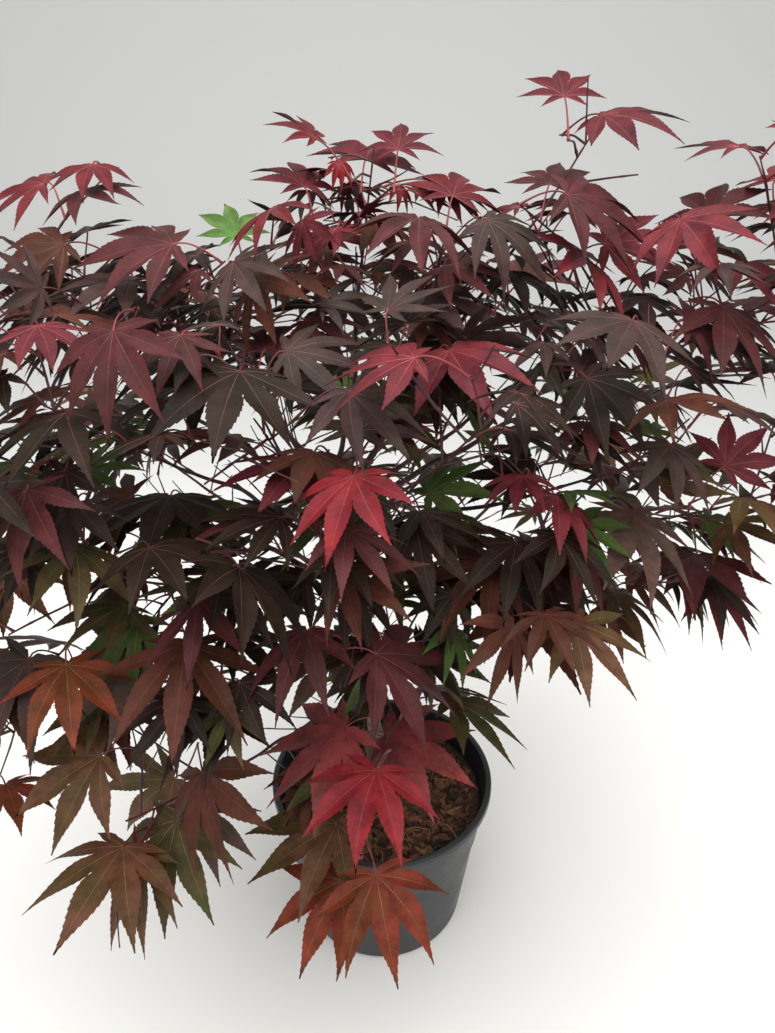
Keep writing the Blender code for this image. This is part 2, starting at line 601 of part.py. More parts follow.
def grow():
    """All twigs first, then the leaves, a pair from each mass in turn so that neighbours share out the
    space between them. A twig or leaf that would touch another or leave its space is skipped."""
    rim = [Vector((0, 0, 0)), Vector((0, 0, POT_HEIGHT + GAP))]
    standing = [piece("pot", "pot", *rod_shape(rim, [POT_BASE_RADIUS, POT_LIP_RADIUS + 2 * GAP], 24)),
                piece("limb", "trunk", *rod_shape(*trunk_line(), 8))]
    for mass in MASSES:
        line, radii = bough_line(mass)
        bough = piece("limb", "bough_" + mass.name, *rod_shape(line[1:], [r * 1.15 for r in radii[1:]], 6))
        for other in standing:
            if touches(bough, [other]):
                print("bough runs into another:", mass.name, other.owner)
        standing.append(bough)
    twigs, stems, nodes, leaves = [], {}, {}, []
    chances = {mass.name: random.Random(f"{SEED}{mass.name}") for mass in MASSES}

    def add_twig(mass, line, radii):
        new = piece("twig", mass.name, *rod_shape(line, radii))
        if touches(new, standing):
            return False
        standing.append(new)
        twigs.append(Twig(mass.name, line, radii))
        return True

    for mass in MASSES:
        line = bough_line(mass)[0]
        way = (line[-1] - line[-2]).normalized()
        stem = shoot_line(line[-1] + way * GAP, way, mass.reach * 0.85, 0.08, 4)
        stems[mass.name] = stem
        nodes[mass.name] = [(stem, END_NODE), (stem, MIDDLE_NODE)]
        if not add_twig(mass, stem, blend(BOUGH_TIP_RADIUS, STEM_TIP_RADIUS, len(stem))):
            print("stem runs into something:", mass.name)
    for feature in FEATURES:
        mass = next(m for m in MASSES if m.name == feature.mass)
        leaf = feature_leaf(feature)
        line = feature_shoot(stems[mass.name], leaf)
        if add_twig(mass, line, blend(TWIG_RADIUS, TWIG_TIP_RADIUS, 3)):
            nodes[mass.name].append((line, MIDDLE_NODE))
            if placed(leaf, mass, mass.name, standing):
                leaves.append(leaf)
            else:
                print("feature leaf left out:", feature)
        else:
            print("feature shoot left out:", feature)
    for mass in MASSES:
        for line in shoots_of(mass, stems[mass.name], chances[mass.name]):
            if add_twig(mass, line, blend(TWIG_RADIUS, TWIG_TIP_RADIUS, 3)):
                nodes[mass.name] += [(line, END_NODE), (line, MIDDLE_NODE)]
    for turn in range(max(map(len, nodes.values()))):
        for mass in MASSES:
            if turn < len(nodes[mass.name]):
                leaves += leaf_pair(mass, mass.name, turn, *nodes[mass.name][turn], standing,
                                    chances[mass.name])
    return twigs, leaves


def fuse_masses(twigs, leaves, collection):
    """One solid for each mass: its stem, joined with its twigs and leaves by one union."""
    plum = material("plum_leaves", (0.085, 0.024, 0.032), 0.5)
    for mass in MASSES:
        own = collection_named("parts_" + mass.name)
        shapes = [rod_shape(t.line, t.radii) for t in twigs if t.mass == mass.name]
        shapes += [leaf_shape(leaf) for leaf in leaves if leaf.mass == mass.name]
        stem, *rest = (mesh_piece(f"{mass.name}_{i}", shape) for i, shape in enumerate(shapes))
        collection.objects.link(stem)
        for part in rest:
            own.objects.link(part)
        join = stem.modifiers.new("join", "BOOLEAN")
        join.operation = "UNION"
        join.operand_type = "COLLECTION"
        join.collection = own
        join.solver = SOLVER
        mesh_object("foliage_" + mass.name, evaluated_mesh(stem), collection, plum)
        for used in [stem, *rest]:
            bpy.data.objects.remove(used, do_unlink=True)
        bpy.data.collections.remove(own)


def mesh_piece(name, shape):
    mesh = bpy.data.meshes.new(name)
    mesh.from_pydata(shape[0], [], shape[1])
    return bpy.data.objects.new(name, mesh)


clear_scene()
plant = collection_named("potted_maple")
make_limbs(plant)
twigs, leaves = grow()
fuse_masses(twigs, leaves, plant)
fit_boughs(plant, collection_named("cutters"))
make_pot(plant, collection_named("drain_cutters"))
make_mix(plant)
print(len(twigs), "twigs", len(leaves), "leaves")
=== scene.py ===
"""A young red-leaved japanese maple in a black nursery pot: its fine shapes and finishes, built round the
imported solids. Metres, +Z up; -Y is the front."""

import math
import random
from collections import namedtuple

import bmesh
import bpy
import numpy as np
from mathutils import Matrix, Vector, noise
from mathutils.bvhtree import BVHTree


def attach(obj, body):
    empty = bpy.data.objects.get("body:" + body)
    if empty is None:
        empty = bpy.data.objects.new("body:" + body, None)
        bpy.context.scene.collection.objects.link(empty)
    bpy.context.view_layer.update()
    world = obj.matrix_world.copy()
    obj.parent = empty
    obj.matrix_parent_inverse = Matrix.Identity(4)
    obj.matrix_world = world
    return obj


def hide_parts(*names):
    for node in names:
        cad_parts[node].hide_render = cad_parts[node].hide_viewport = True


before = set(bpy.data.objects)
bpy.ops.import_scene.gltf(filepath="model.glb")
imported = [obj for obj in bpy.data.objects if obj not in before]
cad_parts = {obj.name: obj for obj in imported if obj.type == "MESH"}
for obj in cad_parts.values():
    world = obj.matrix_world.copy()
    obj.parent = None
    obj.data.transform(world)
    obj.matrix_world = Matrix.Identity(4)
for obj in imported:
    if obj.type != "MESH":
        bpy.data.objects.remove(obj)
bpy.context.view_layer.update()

# ------------------------------------------------------------------------------------ floor and light
# A plain pale studio floor that sweeps up into a backdrop far behind the plant, its colour painted greyer
# towards the back as painted shade for the light that falls off there, a broad overhead panel, a softer one
# from the front left, and an even pale sky for everything that they don't reach.


def paint(red, green, blue):
    """A linear colour from the 0 to 255 steps of a paint chart."""
    steps = (c / 255 for c in (red, green, blue))
    return tuple(s / 12.92 if s < 0.04045 else ((s + 0.055) / 1.055) ** 2.4 for s in steps)


def own_object(name, mesh, finish=None):
    made = bpy.data.objects.new(name, mesh)
    bpy.context.scene.collection.objects.link(made)
    if finish:
        mesh.materials.clear()
        mesh.materials.append(finish)
    return made


def new_finish(name, colour, roughness):
    """A material with a plain Principled shader, and its tree and shader to wire more into."""
    made = bpy.data.materials.new(name)
    made.use_nodes = True
    shader = made.node_tree.nodes["Principled BSDF"]
    shader.inputs["Base Color"].default_value = (*paint(*colour), 1.0)
    shader.inputs["Roughness"].default_value = roughness
    return made, made.node_tree, shader


def put(tree, kind, *values, **settings):
    """A new node with its settings, and its inputs, in order, set to a value or wired to a socket."""
    node = tree.nodes.new(kind)
    for name, value in settings.items():
        setattr(node, name, value)
    for socket, value in zip([s for s in node.inputs if s.enabled], values):
        if isinstance(value, bpy.types.NodeSocket):
            tree.links.new(value, socket)
        elif value is not None:
            socket.default_value = value
    return node


def wire(tree, kind, *values, **settings):
    """The first output of a new node."""
    node = put(tree, kind, *values, **settings)
    return next(s for s in node.outputs if s.enabled)


def ramp(tree, source, *stops):
    """Colours picked along a mask. stops: (place, linear colour) pairs."""
    node = put(tree, "ShaderNodeValToRGB", source)
    while len(node.color_ramp.elements) < len(stops):
        node.color_ramp.elements.new(0.5)
    for element, (place, colour) in zip(node.color_ramp.elements, stops):
        element.position = place
        element.color = (*colour, 1.0)
    return node.outputs["Color"]


FLOOR_HALF = 7.0
SWEEP_START = 2.3
SWEEP_RADIUS = 0.8
SWEEP_STEPS = 24
BACKDROP_TOP = 4.0

sweep = [(-FLOOR_HALF, 0.0), (SWEEP_START, 0.0)]
for step in range(1, SWEEP_STEPS + 1):
    turn = math.pi / 2 * step / SWEEP_STEPS
    sweep.append((SWEEP_START + SWEEP_RADIUS * math.sin(turn), SWEEP_RADIUS * (1 - math.cos(turn))))
sweep.append((SWEEP_START + SWEEP_RADIUS, BACKDROP_TOP))
floor_mesh = bpy.data.meshes.new("studio_floor")
floor_mesh.from_pydata([(x, y, z) for y, z in sweep for x in (-FLOOR_HALF, FLOOR_HALF)], [],
                       [(2 * i, 2 * i + 1, 2 * i + 3, 2 * i + 2) for i in range(len(sweep) - 1)])
floor_mesh.shade_smooth()
floor_finish, tree, shader = new_finish("pale_floor", (240, 240, 238), 0.75)
# The floor's colour is painted greyer from 0.1 m to 1.3 m behind the plant: painted shade for the lamps'
# light falling off with distance.
away = put(tree, "ShaderNodeSeparateXYZ", put(tree, "ShaderNodeTexCoord").outputs["Object"]).outputs["Y"]
fade = wire(tree, "ShaderNodeMapRange", away, 0.1, 1.3, interpolation_type="SMOOTHSTEP")
painted_falloff_shade = ramp(tree, fade, (0.0, paint(243, 243, 241)), (1.0, paint(214, 215, 214)))
tree.links.new(painted_falloff_shade, shader.inputs["Base Color"])
studio_floor = own_object("studio_floor", floor_mesh, floor_finish)

scene = bpy.context.scene
scene.view_settings.view_transform = "Standard"
scene.world = bpy.data.worlds.new("even_sky")
scene.world.use_nodes = True
sky = scene.world.node_tree.nodes["Background"]
DAYLIGHT = (1.0, 0.99, 0.975)
sky.inputs["Color"].default_value = (*DAYLIGHT, 1.0)
sky.inputs["Strength"].default_value = 0.66

for name, place, aim, size, power in (
    ("overhead_panel", (0.1, -0.35, 2.3), (0, -0.15, 0.3), 2.4, 62),
    ("front_panel", (-1.3, -2.0, 1.9), (0, 0, 0.4), 1.6, 16),
):
    lamp = bpy.data.lights.new(name, "AREA")
    lamp.size = size
    lamp.energy = power
    lamp.color = DAYLIGHT
    holder = bpy.data.objects.new(name, lamp)
    holder.location = place
    holder.rotation_euler = (Vector(aim) - Vector(place)).to_track_quat("-Z", "Y").to_euler()
    scene.collection.objects.link(holder)

LENS = 29.97
EYE = (0.0055, -0.615, 0.844)
LOOKS_DOWN = 30.63
camera = bpy.data.cameras.new("camera")
camera.sensor_width = 36.0
camera.lens = LENS
camera.clip_start = 0.01
viewer = bpy.data.objects.new("camera", camera)
viewer.location = EYE
viewer.rotation_euler = (math.radians(90 - LOOKS_DOWN), 0, 0)
scene.collection.objects.link(viewer)
scene.camera = viewer

# ------------------------------------------------------------------------------------------------ pot
# A round black nursery pot, blow-moulded in thin polythene: a rolled lip, a shallow step a third of the way
# down, a chamfered foot, and drain holes round its floor.

POT_HEIGHT = 0.178
POT_LIP_RADIUS = 0.110
POT_BASE_RADIUS = 0.084
POT_WALL = 0.0022
POT_LIP_HEIGHT = 0.009
POT_LIP_OVERHANG = 0.0035
POT_STEP_DROP = 0.050
POT_STEP_DEPTH = 0.0012
POT_TURNS = 160
DRAIN_HOLES = 8
DRAIN_RADIUS = 0.006
DRAIN_RING = 0.80


def pot_radius(height):
    """Outer radius of the tapered wall at a height."""
    top = POT_LIP_RADIUS - POT_LIP_OVERHANG
    return POT_BASE_RADIUS + (top - POT_BASE_RADIUS) * height / POT_HEIGHT


def eased(corner, before, after, reach, steps=5):
    """A rounded corner between two straight runs of a profile."""
    corner, before, after = Vector(corner), Vector(before), Vector(after)
    start = corner + (before - corner).normalized() * reach
    end = corner + (after - corner).normalized() * reach
    return [tuple(start * (1 - t) ** 2 + corner * 2 * t * (1 - t) + end * t * t)
            for t in (i / steps for i in range(steps + 1))]


def level_way(turn):
    """The level direction at a turn, in radians, from +X."""
    return Vector((math.cos(turn), math.sin(turn), 0))


def rounded(profile, reaches):
    """The profile with each corner that has a reach eased."""
    points = []
    for i, corner in enumerate(profile):
        if reaches.get(i):
            points += eased(corner, profile[i - 1], profile[i + 1], reaches[i])
        else:
            points.append(corner)
    return points


def plain_mesh(source):
    """What an object's modifiers make of it, as a mesh of its own; the object is then removed."""
    bpy.context.view_layer.update()
    graph = bpy.context.evaluated_depsgraph_get()
    mesh = bpy.data.meshes.new_from_object(source.evaluated_get(graph))
    bpy.data.objects.remove(source, do_unlink=True)
    return mesh


under_lip = POT_HEIGHT - POT_LIP_HEIGHT
step_height = under_lip - POT_STEP_DROP
pot_profile = [
    (0, POT_WALL),
    (POT_BASE_RADIUS - 2 * POT_WALL, POT_WALL),
    (pot_radius(under_lip) - POT_WALL, under_lip),
    (pot_radius(under_lip) - POT_WALL * 0.5, POT_HEIGHT),
    (POT_LIP_RADIUS, POT_HEIGHT),
    (POT_LIP_RADIUS, under_lip),
    (pot_radius(under_lip), under_lip),
    (pot_radius(step_height), step_height),
    (pot_radius(step_height - 0.002) - POT_STEP_DEPTH, step_height - 0.002),
    (pot_radius(0.004), 0.004),
    (POT_BASE_RADIUS - 0.003, 0),
    (0, 0),
]
eases = {1: 0.003, 3: 0.0016, 4: 0.0026, 5: 0.0018, 6: 0.0012, 7: 0.0012, 8: 0.0012, 9: 0.0015, 10: 0.001}
pot_rim = [(r, 0, h) for r, h in rounded(pot_profile, eases)]
blank = bpy.data.meshes.new("pot_profile")
blank.from_pydata(pot_rim, [(i, i + 1) for i in range(len(pot_rim) - 1)], [])
blank = own_object("pot_profile", blank)
turning = blank.modifiers.new("turn", "SCREW")
turning.steps = turning.render_steps = POT_TURNS
turning.use_merge_vertices = True
turning.merge_threshold = 0.00002
turning.use_normal_calculate = True
drills = bpy.data.meshes.new("drills")
shape = bmesh.new()
for hole in range(DRAIN_HOLES):
    turn = 2 * math.pi * (hole + 0.5) / DRAIN_HOLES
    spot = level_way(turn) * POT_BASE_RADIUS * DRAIN_RING
    bmesh.ops.create_cone(shape, cap_ends=True, segments=20, radius1=DRAIN_RADIUS, radius2=DRAIN_RADIUS,
                          depth=0.02, matrix=Matrix.Translation(spot))
shape.to_mesh(drills)
shape.free()
drills = own_object("drills", drills)
boring = blank.modifiers.new("drain holes", "BOOLEAN")
boring.object = drills
boring.operation = "DIFFERENCE"
boring.solver = "EXACT"
pot_mesh = plain_mesh(blank)
bpy.data.objects.remove(drills, do_unlink=True)
pot_mesh.shade_smooth()
pot_mesh.set_sharp_from_angle(angle=math.radians(38))


def maths(tree, operation, *values):
    return wire(tree, "ShaderNodeMath", *values, operation=operation)


def new_tree(family, name, given, made):
    """A tree of Shader or Geometry nodes and its inputs' sockets. Each of its inputs and outputs is told by
    the value that it starts with or, where it has none, by its kind."""
    tree = bpy.data.node_groups.new(name, family + "NodeTree")
    for way, sockets in (("INPUT", given), ("OUTPUT", made)):
        for label, value in sockets.items():
            kind = value if isinstance(value, str) else type(value).__name__.capitalize()
            socket = tree.interface.new_socket(label, in_out=way, socket_type="NodeSocket" + kind)
            if kind != value:
                socket.default_value = value
    return tree, tree.nodes.new("NodeGroupInput").outputs


def grain_group():
    """Fine grain and broad cloudiness over any surface, as masks and as a normal."""
    tree, given = new_tree("Shader", "grain",
                           {"Fine scale": 900.0, "Broad scale": 30.0, "Depth": 0.0002, "Lift": 0.5},
                           {"Fine": "Float", "Broad": "Float", "Normal": "Vector"})
    where = put(tree, "ShaderNodeTexCoord").outputs["Object"]
    fine = wire(tree, "ShaderNodeTexNoise", where, given["Fine scale"], 3.0)
    broad = wire(tree, "ShaderNodeTexNoise", where, given["Broad scale"], 4.0)
    bump = put(tree, "ShaderNodeBump")
    for source, name in ((given["Depth"], "Distance"), (given["Lift"], "Strength"), (fine, "Height")):
        tree.links.new(source, bump.inputs[name])
    put(tree, "NodeGroupOutput", fine, broad, bump.outputs["Normal"])
    return tree


def between(tree, source, low, high, start=0.0, end=1.0):
    """A number that runs from low to high as a mask runs from start to end."""
    return wire(tree, "ShaderNodeMapRange", source, start, end, low, high)


def multiplied(tree, first, second, share):
    """One colour darkened by another."""
    node = put(tree, "ShaderNodeMix", data_type="RGBA", blend_type="MULTIPLY")
    node.inputs["Factor"].default_value = share
    tree.links.new(first, next(s for s in node.inputs if s.identifier == "A_Color"))
    tree.links.new(second, next(s for s in node.inputs if s.identifier == "B_Color"))
    return next(s for s in node.outputs if s.identifier == "Result_Color")


GRAIN = grain_group()
Coat = namedtuple("Coat", "finish tree shader masks shades")


def grained(name, colour, roughness, grain, *stops):
    """A finish with a grain's relief, and its colour picked along the grain's broad cloud. grain: the fine
    scale, broad scale, depth and lift. stops: (place, paint steps) pairs."""
    finish, tree, shader = new_finish(name, colour, roughness)
    masks = put(tree, "ShaderNodeGroup", *grain, node_tree=GRAIN).outputs
    tree.links.new(masks["Normal"], shader.inputs["Normal"])
    shades = None
    if stops:
        shades = ramp(tree, masks["Broad"], *((place, paint(*steps)) for place, steps in stops))
        tree.links.new(shades, shader.inputs["Base Color"])
    return Coat(finish, tree, shader, masks, shades)


plastic = grained("black_plastic", (26, 31, 34), 0.48, (1400.0, 26.0, 0.00012, 0.25),
                  (0.36, (18, 23, 26)), (0.60, (25, 30, 33)), (0.78, (38, 43, 45)))
plastic.tree.links.new(between(plastic.tree, plastic.masks["Broad"], 0.34, 0.52, 0.3, 0.75),
                       plastic.shader.inputs["Roughness"])
pot_shell = own_object("pot_shell", pot_mesh, plastic.finish)
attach(pot_shell, "root")
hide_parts("pot")

# ----------------------------------------------------------------------------------------- potting mix
# A crumbly bed of composted bark that fills the pot to an inch below its lip, with flakes of bark and dry
# fibres loose on top of it.

MIX_TOP = 0.154
MIX_CROWN = 0.006
MIX_CLEAR = 0.0036
BED_RINGS = 22
BED_SIDES = 72

bed_edge = pot_radius(MIX_TOP) - MIX_CLEAR
bed_points = []
for ring in range(BED_RINGS):
    share = (ring + 1) / BED_RINGS
    for k in range(BED_SIDES):
        turn = 2 * math.pi * k / BED_SIDES
        place = level_way(turn) * bed_edge * share
        lump = noise.noise(place * 95) * 0.0022 + noise.noise(place * 260) * 0.0012
        rise = MIX_CROWN * (1 - share) ** 1.5 - 0.0032
        bed_points.append((place.x, place.y, MIX_TOP + rise + lump * (1 if ring < BED_RINGS - 1 else 0)))
foot = POT_BASE_RADIUS - 2 * POT_WALL - MIX_CLEAR
for k in range(BED_SIDES):
    turn = 2 * math.pi * k / BED_SIDES
    bed_points.append((foot * math.cos(turn), foot * math.sin(turn), POT_WALL + 0.0003))
bed_points += [(0, 0, MIX_TOP + MIX_CROWN - 0.003), (0, 0, POT_WALL + 0.0003)]
bed_faces = []
for k in range(BED_SIDES):
    after = (k + 1) % BED_SIDES
    bed_faces.append((len(bed_points) - 2, k, after))
    for ring in range(BED_RINGS):
        low, high = ring * BED_SIDES, (ring + 1) * BED_SIDES
        bed_faces.append((low + k, high + k, high + after, low + after))
    bed_faces.append((BED_RINGS * BED_SIDES + after, BED_RINGS * BED_SIDES + k, len(bed_points) - 1))
bed_mesh = bpy.data.meshes.new("mix_bed")
bed_mesh.from_pydata(bed_points, [], bed_faces)
bed_mesh.shade_smooth()
crumbs = grained("mix_bed", (52, 34, 24), 0.95, (420.0, 130.0, 0.0015, 0.9),
                 (0.35, (26, 17, 13)), (0.55, (64, 41, 28)), (0.75, (96, 64, 44)))
mix_bed = own_object("mix_bed", bed_mesh, crumbs.finish)


def run_tree(host, tree, **values):
    """Runs a node tree on an object and gives back the result as a plain mesh."""
    modifier = host.modifiers.new(tree.name, "NODES")
    modifier.node_group = tree
    for socket in tree.interface.items_tree:
        key = socket.name.lower().replace(" ", "_")
        if socket.in_out == "INPUT" and key in values:
            modifier[socket.identifier] = values[key]
    return plain_mesh(host)


def dice(tree, low, high, seed):
    return wire(tree, "FunctionNodeRandomValue", low, high, None, seed, data_type="FLOAT")


def scatter_tree():
    """Scatters pieces of a collection over a surface, each with its own turn, size and tone."""
    tree, given = new_tree("Geometry", "scatter",
                           {"Surface": "Geometry", "Pieces": "Collection", "Spacing": 0.006,
                            "Smallest": 0.5, "Largest": 1.2, "Lean": 0.5, "Seed": 1, "Finish": "Material"},
                           {"Scattered": "Geometry"})
    upright = put(tree, "ShaderNodeSeparateXYZ", wire(tree, "GeometryNodeInputNormal")).outputs["Z"]
    facing_up = wire(tree, "FunctionNodeCompare", upright, 0.5)
    spots = wire(tree, "GeometryNodeDistributePointsOnFaces", given["Surface"], facing_up,
                 given["Spacing"], 90000.0, 1.0, given["Seed"], distribute_method="POISSON")
    pieces = wire(tree, "GeometryNodeCollectionInfo", given["Pieces"], True, True)
    lean = dice(tree, maths(tree, "MULTIPLY", given["Lean"], -1.0), given["Lean"], 0)
    angles = wire(tree, "ShaderNodeCombineXYZ", lean, 0.0, dice(tree, 0.0, 2 * math.pi, 1))
    put_out = wire(tree, "GeometryNodeInstanceOnPoints", spots, None, pieces, True, None,
                   wire(tree, "FunctionNodeEulerToRotation", angles),
                   dice(tree, given["Smallest"], given["Largest"], 2))
    toned = wire(tree, "GeometryNodeStoreNamedAttribute", put_out, None, "tone",
                 dice(tree, 0.0, 1.0, 3), data_type="FLOAT", domain="INSTANCE")
    solid = wire(tree, "GeometryNodeRealizeInstances", toned)
    put(tree, "NodeGroupOutput", wire(tree, "GeometryNodeSetMaterial", solid, None, given["Finish"]))
    return tree


CHIP_KINDS = 7
chip_shapes = bpy.data.collections.new("chip_shapes")
chance = random.Random(5)
for kind in range(CHIP_KINDS):
    shape = bmesh.new()
    bmesh.ops.create_cube(shape, size=1.0)
    bmesh.ops.subdivide_edges(shape, edges=shape.edges[:], cuts=1, use_grid_fill=True)
    sizes = Vector((chance.uniform(0.008, 0.014), chance.uniform(0.005, 0.009),
                    chance.uniform(0.0022, 0.0044)))
    for vert in shape.verts:
        pinch = 1 - abs(vert.co.x) * chance.uniform(0.1, 0.9)
        jitter = Vector(chance.uniform(-0.14, 0.14) for _ in range(3))
        vert.co = Vector((vert.co.x * sizes.x, vert.co.y * sizes.y * pinch, vert.co.z * sizes.z))
        vert.co += Vector(a * b for a, b in zip(jitter, sizes))
        vert.co.z += 3.0 * vert.co.x * vert.co.y / sizes.x
    chip = bpy.data.meshes.new(f"chip_{kind}")
    shape.to_mesh(chip)
    shape.free()
    chip_shapes.objects.link(bpy.data.objects.new(f"chip_{kind}", chip))

flakes = grained("bark_chips", (112, 72, 52), 0.85, (700.0, 240.0, 0.0006, 0.7))
tone = put(flakes.tree, "ShaderNodeAttribute", attribute_name="tone").outputs["Fac"]
shades = ramp(flakes.tree, tone, (0.0, paint(40, 25, 18)), (0.30, paint(80, 49, 33)),
              (0.60, paint(116, 74, 50)), (0.85, paint(146, 102, 72)), (1.0, paint(82, 64, 38)))
stains = ramp(flakes.tree, flakes.masks["Broad"], (0.35, (0.32, 0.3, 0.28)), (0.62, (1.0, 1.0, 1.0)))
flakes.tree.links.new(multiplied(flakes.tree, shades, stains, 0.75), flakes.shader.inputs["Base Color"])
SCATTER = scatter_tree()


def bed_inside(margin):
    """The bed's top without the ring of this width next to the pot's wall."""
    rings = int(BED_RINGS * (1 - margin / bed_edge))
    mesh = bpy.data.meshes.new("bed_inside")
    mesh.from_pydata(bed_points, [], [f for f in bed_faces if max(f) < rings * BED_SIDES or (
        f[0] == len(bed_points) - 2)])
    return own_object("bed_inside", mesh)


scattered = []
for name, margin, spacing, smallest, largest, seed in (("bark_chips", 0.0095, 0.0052, 0.6, 1.3, 4),
                                                       ("bark_crumbs", 0.0035, 0.0036, 0.2, 0.5, 9)):
    mesh = run_tree(bed_inside(margin), SCATTER, pieces=chip_shapes, spacing=spacing, smallest=smallest,
                    largest=largest, lean=0.62, seed=seed, finish=flakes.finish)
    scattered.append(own_object(name, mesh))

# The fibres are guides of a few points each, which the limb tree turns into fine tapering rods.


def limb_tree():
    """Turns guide lines into tapering rods with rings, nodes and a relief that runs along them. Each guide
    point's radius is its width attribute."""
    tree, given = new_tree("Geometry", "tapering limbs",
                           {"Guides": "Geometry", "Sides": 8, "Ring spacing": 0.004, "Relief": 0.0,
                            "Relief turns": 2.5, "Relief pitch": 60.0, "Node spacing": 0.035,
                            "Node swell": 0.0, "Finish": "Material"}, {"Limbs": "Geometry"})

    def stored(geometry, name, kind, value, domain="POINT"):
        return wire(tree, "GeometryNodeStoreNamedAttribute", geometry, None, name, value, data_type=kind,
                    domain=domain)

    def read(name, kind="FLOAT"):
        return wire(tree, "GeometryNodeInputNamedAttribute", name, data_type=kind)

    curves = wire(tree, "GeometryNodeMeshToCurve", given["Guides"])
    smooth = wire(tree, "GeometryNodeCurveSplineType", curves, spline_type="CATMULL_ROM")
    rings = wire(tree, "GeometryNodeResampleCurve", smooth, None, given["Ring spacing"], mode="LENGTH")
    limb = wire(tree, "FunctionNodeRandomValue", 0.0, 10.0, wire(tree, "GeometryNodeInputIndex"), 7,
                data_type="FLOAT")
    numbered = stored(rings, "limb", "FLOAT", limb, "CURVE")
    length = put(tree, "GeometryNodeSplineParameter").outputs["Length"]
    measured = stored(numbered, "along", "FLOAT", length)
    circle = wire(tree, "GeometryNodeCurvePrimitiveCircle", given["Sides"], 1.0)
    around = stored(circle, "around", "FLOAT_VECTOR", wire(tree, "GeometryNodeInputPosition"))
    shifted = maths(tree, "MULTIPLY_ADD", read("limb"), 0.01, read("along"))
    pitch = maths(tree, "FRACT", maths(tree, "DIVIDE", shifted, given["Node spacing"]))
    near = maths(tree, "ABSOLUTE", maths(tree, "SUBTRACT", pitch, 0.5))
    ridge = maths(tree, "MAXIMUM", maths(tree, "MULTIPLY_ADD", near, -9.0, 1.0), 0.0)
    bulge = maths(tree, "POWER", ridge, 1.4)
    swell = maths(tree, "MULTIPLY_ADD", bulge, given["Node swell"], 1.0)
    thick = maths(tree, "MULTIPLY", read("width"), swell)
    skin = wire(tree, "GeometryNodeCurveToMesh", measured, around, thick, True)
    lengthwise = wire(tree, "ShaderNodeCombineXYZ", read("limb"), 0.0,
                      maths(tree, "MULTIPLY", read("along"), given["Relief pitch"]))
    spread = wire(tree, "ShaderNodeVectorMath", read("around", "FLOAT_VECTOR"), given["Relief turns"],
                  operation="SCALE")
    place = wire(tree, "ShaderNodeVectorMath", spread, lengthwise, operation="ADD")
    rough = wire(tree, "ShaderNodeTexNoise", place, 1.0, 3.0)
    height = maths(tree, "MULTIPLY", maths(tree, "SUBTRACT", rough, 0.5), given["Relief"])
    push = wire(tree, "ShaderNodeVectorMath", wire(tree, "GeometryNodeInputNormal"),
                maths(tree, "MULTIPLY", height, read("width")), operation="SCALE")
    moved = wire(tree, "GeometryNodeSetPosition", skin, None, None, push)
    shaded = wire(tree, "GeometryNodeSetShadeSmooth", moved)
    solid = wire(tree, "GeometryNodeRealizeInstances", shaded)
    put(tree, "NodeGroupOutput", wire(tree, "GeometryNodeSetMaterial", solid, None, given["Finish"]))
    return tree


LIMBS = limb_tree()


def rods(name, lines, **values):
    """One piece from many (points, radii) guides, by way of the limb tree."""
    points, edges, widths = [], [], []
    for line, radii in lines:
        first = len(points)
        points += [tuple(p) for p in line]
        widths += list(radii)
        edges += [(first + i, first + i + 1) for i in range(len(line) - 1)]
    guides = bpy.data.meshes.new(name + "_guides")
    guides.from_pydata(points, edges, [])
    guides.attributes.new("width", "FLOAT", "POINT").data.foreach_set("value", widths)
    return own_object(name, run_tree(own_object(name + "_guides", guides), LIMBS, **values))


FIBRES = 60
straw = grained("dry_fibres", (152, 116, 72), 0.8, (500.0, 60.0, 0.0002, 0.3),
                (0.35, (104, 72, 44)), (0.55, (150, 112, 68)), (0.75, (182, 148, 98)))
chance = random.Random(8)
fibres = []
for _ in range(FIBRES):
    out_by, turn = bed_edge * 0.93 * math.sqrt(chance.random()), chance.uniform(0, 2 * math.pi)
    place = Vector((out_by * math.cos(turn), out_by * math.sin(turn), MIX_TOP + 0.004))
    heading = chance.uniform(0, 2 * math.pi)
    curl = chance.uniform(-0.9, 0.9)
    line = [place.copy()]
    for _ in range(5):
        place = place + level_way(heading) * chance.uniform(0.004, 0.009)
        heading += curl + chance.uniform(-0.5, 0.5)
        place.z = MIX_TOP + chance.uniform(0.0015, 0.0075)
        if math.hypot(place.x, place.y) > bed_edge * 0.97:
            break
        line.append(place.copy())
    if len(line) > 2:
        width = chance.uniform(0.00022, 0.00045)
        fibres.append((line, [width] * (len(line) - 1) + [width * 0.4]))
dry_fibres = rods("dry_fibres", fibres, sides=5, ring_spacing=0.0035, finish=straw.finish)
for piece in (mix_bed, *scattered, dry_fibres):
    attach(piece, "root")
    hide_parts("potting_mix")

# -------------------------------------------------------------------------------- how the maple grows
# A grafted young tree: one slender leaning trunk, boughs fanned out of its upper part, and on each bough's
# end one spray, a stem with side shoots that carry their leaves in opposite pairs.

UP = Vector((0, 0, 1))
GAP = 0.0003
TRUNK_FOOT = MIX_TOP + MIX_CROWN + GAP
TRUNK_TOP = 0.505
TRUNK_LEAN = -0.044
TRUNK_BEND = 0.006
TRUNK_UPRIGHT = 0.02
TRUNK_RADIUS = 0.0072
TRUNK_TOP_RADIUS = 0.0048
TRUNK_FLARE = 0.0115
TRUNK_FLARE_HEIGHT = 0.020
TRUNK_RINGS = 9
BOUGH_RADIUS = 0.0018
BOUGH_GAIN = 0.0045
BOUGH_TIP_RADIUS = 0.0019
BOUGH_RINGS = 5
STEM_TIP_RADIUS = 0.0016
TWIG_RADIUS = 0.0012
TWIG_TIP_RADIUS = 0.0010
SHOOT_FLATNESS = 0.45
END_NODE = 0.95
MIDDLE_NODE = 0.54
STALK_RADIUS = 0.0007
STALK_FOOT_RADIUS = 0.00045
STALK_LENGTH = (0.024, 0.040)
LOBES = ((-92, 0.66), (-46, 0.92), (0, 1.0), (46, 0.92), (92, 0.66))
NOTCH = 0.38
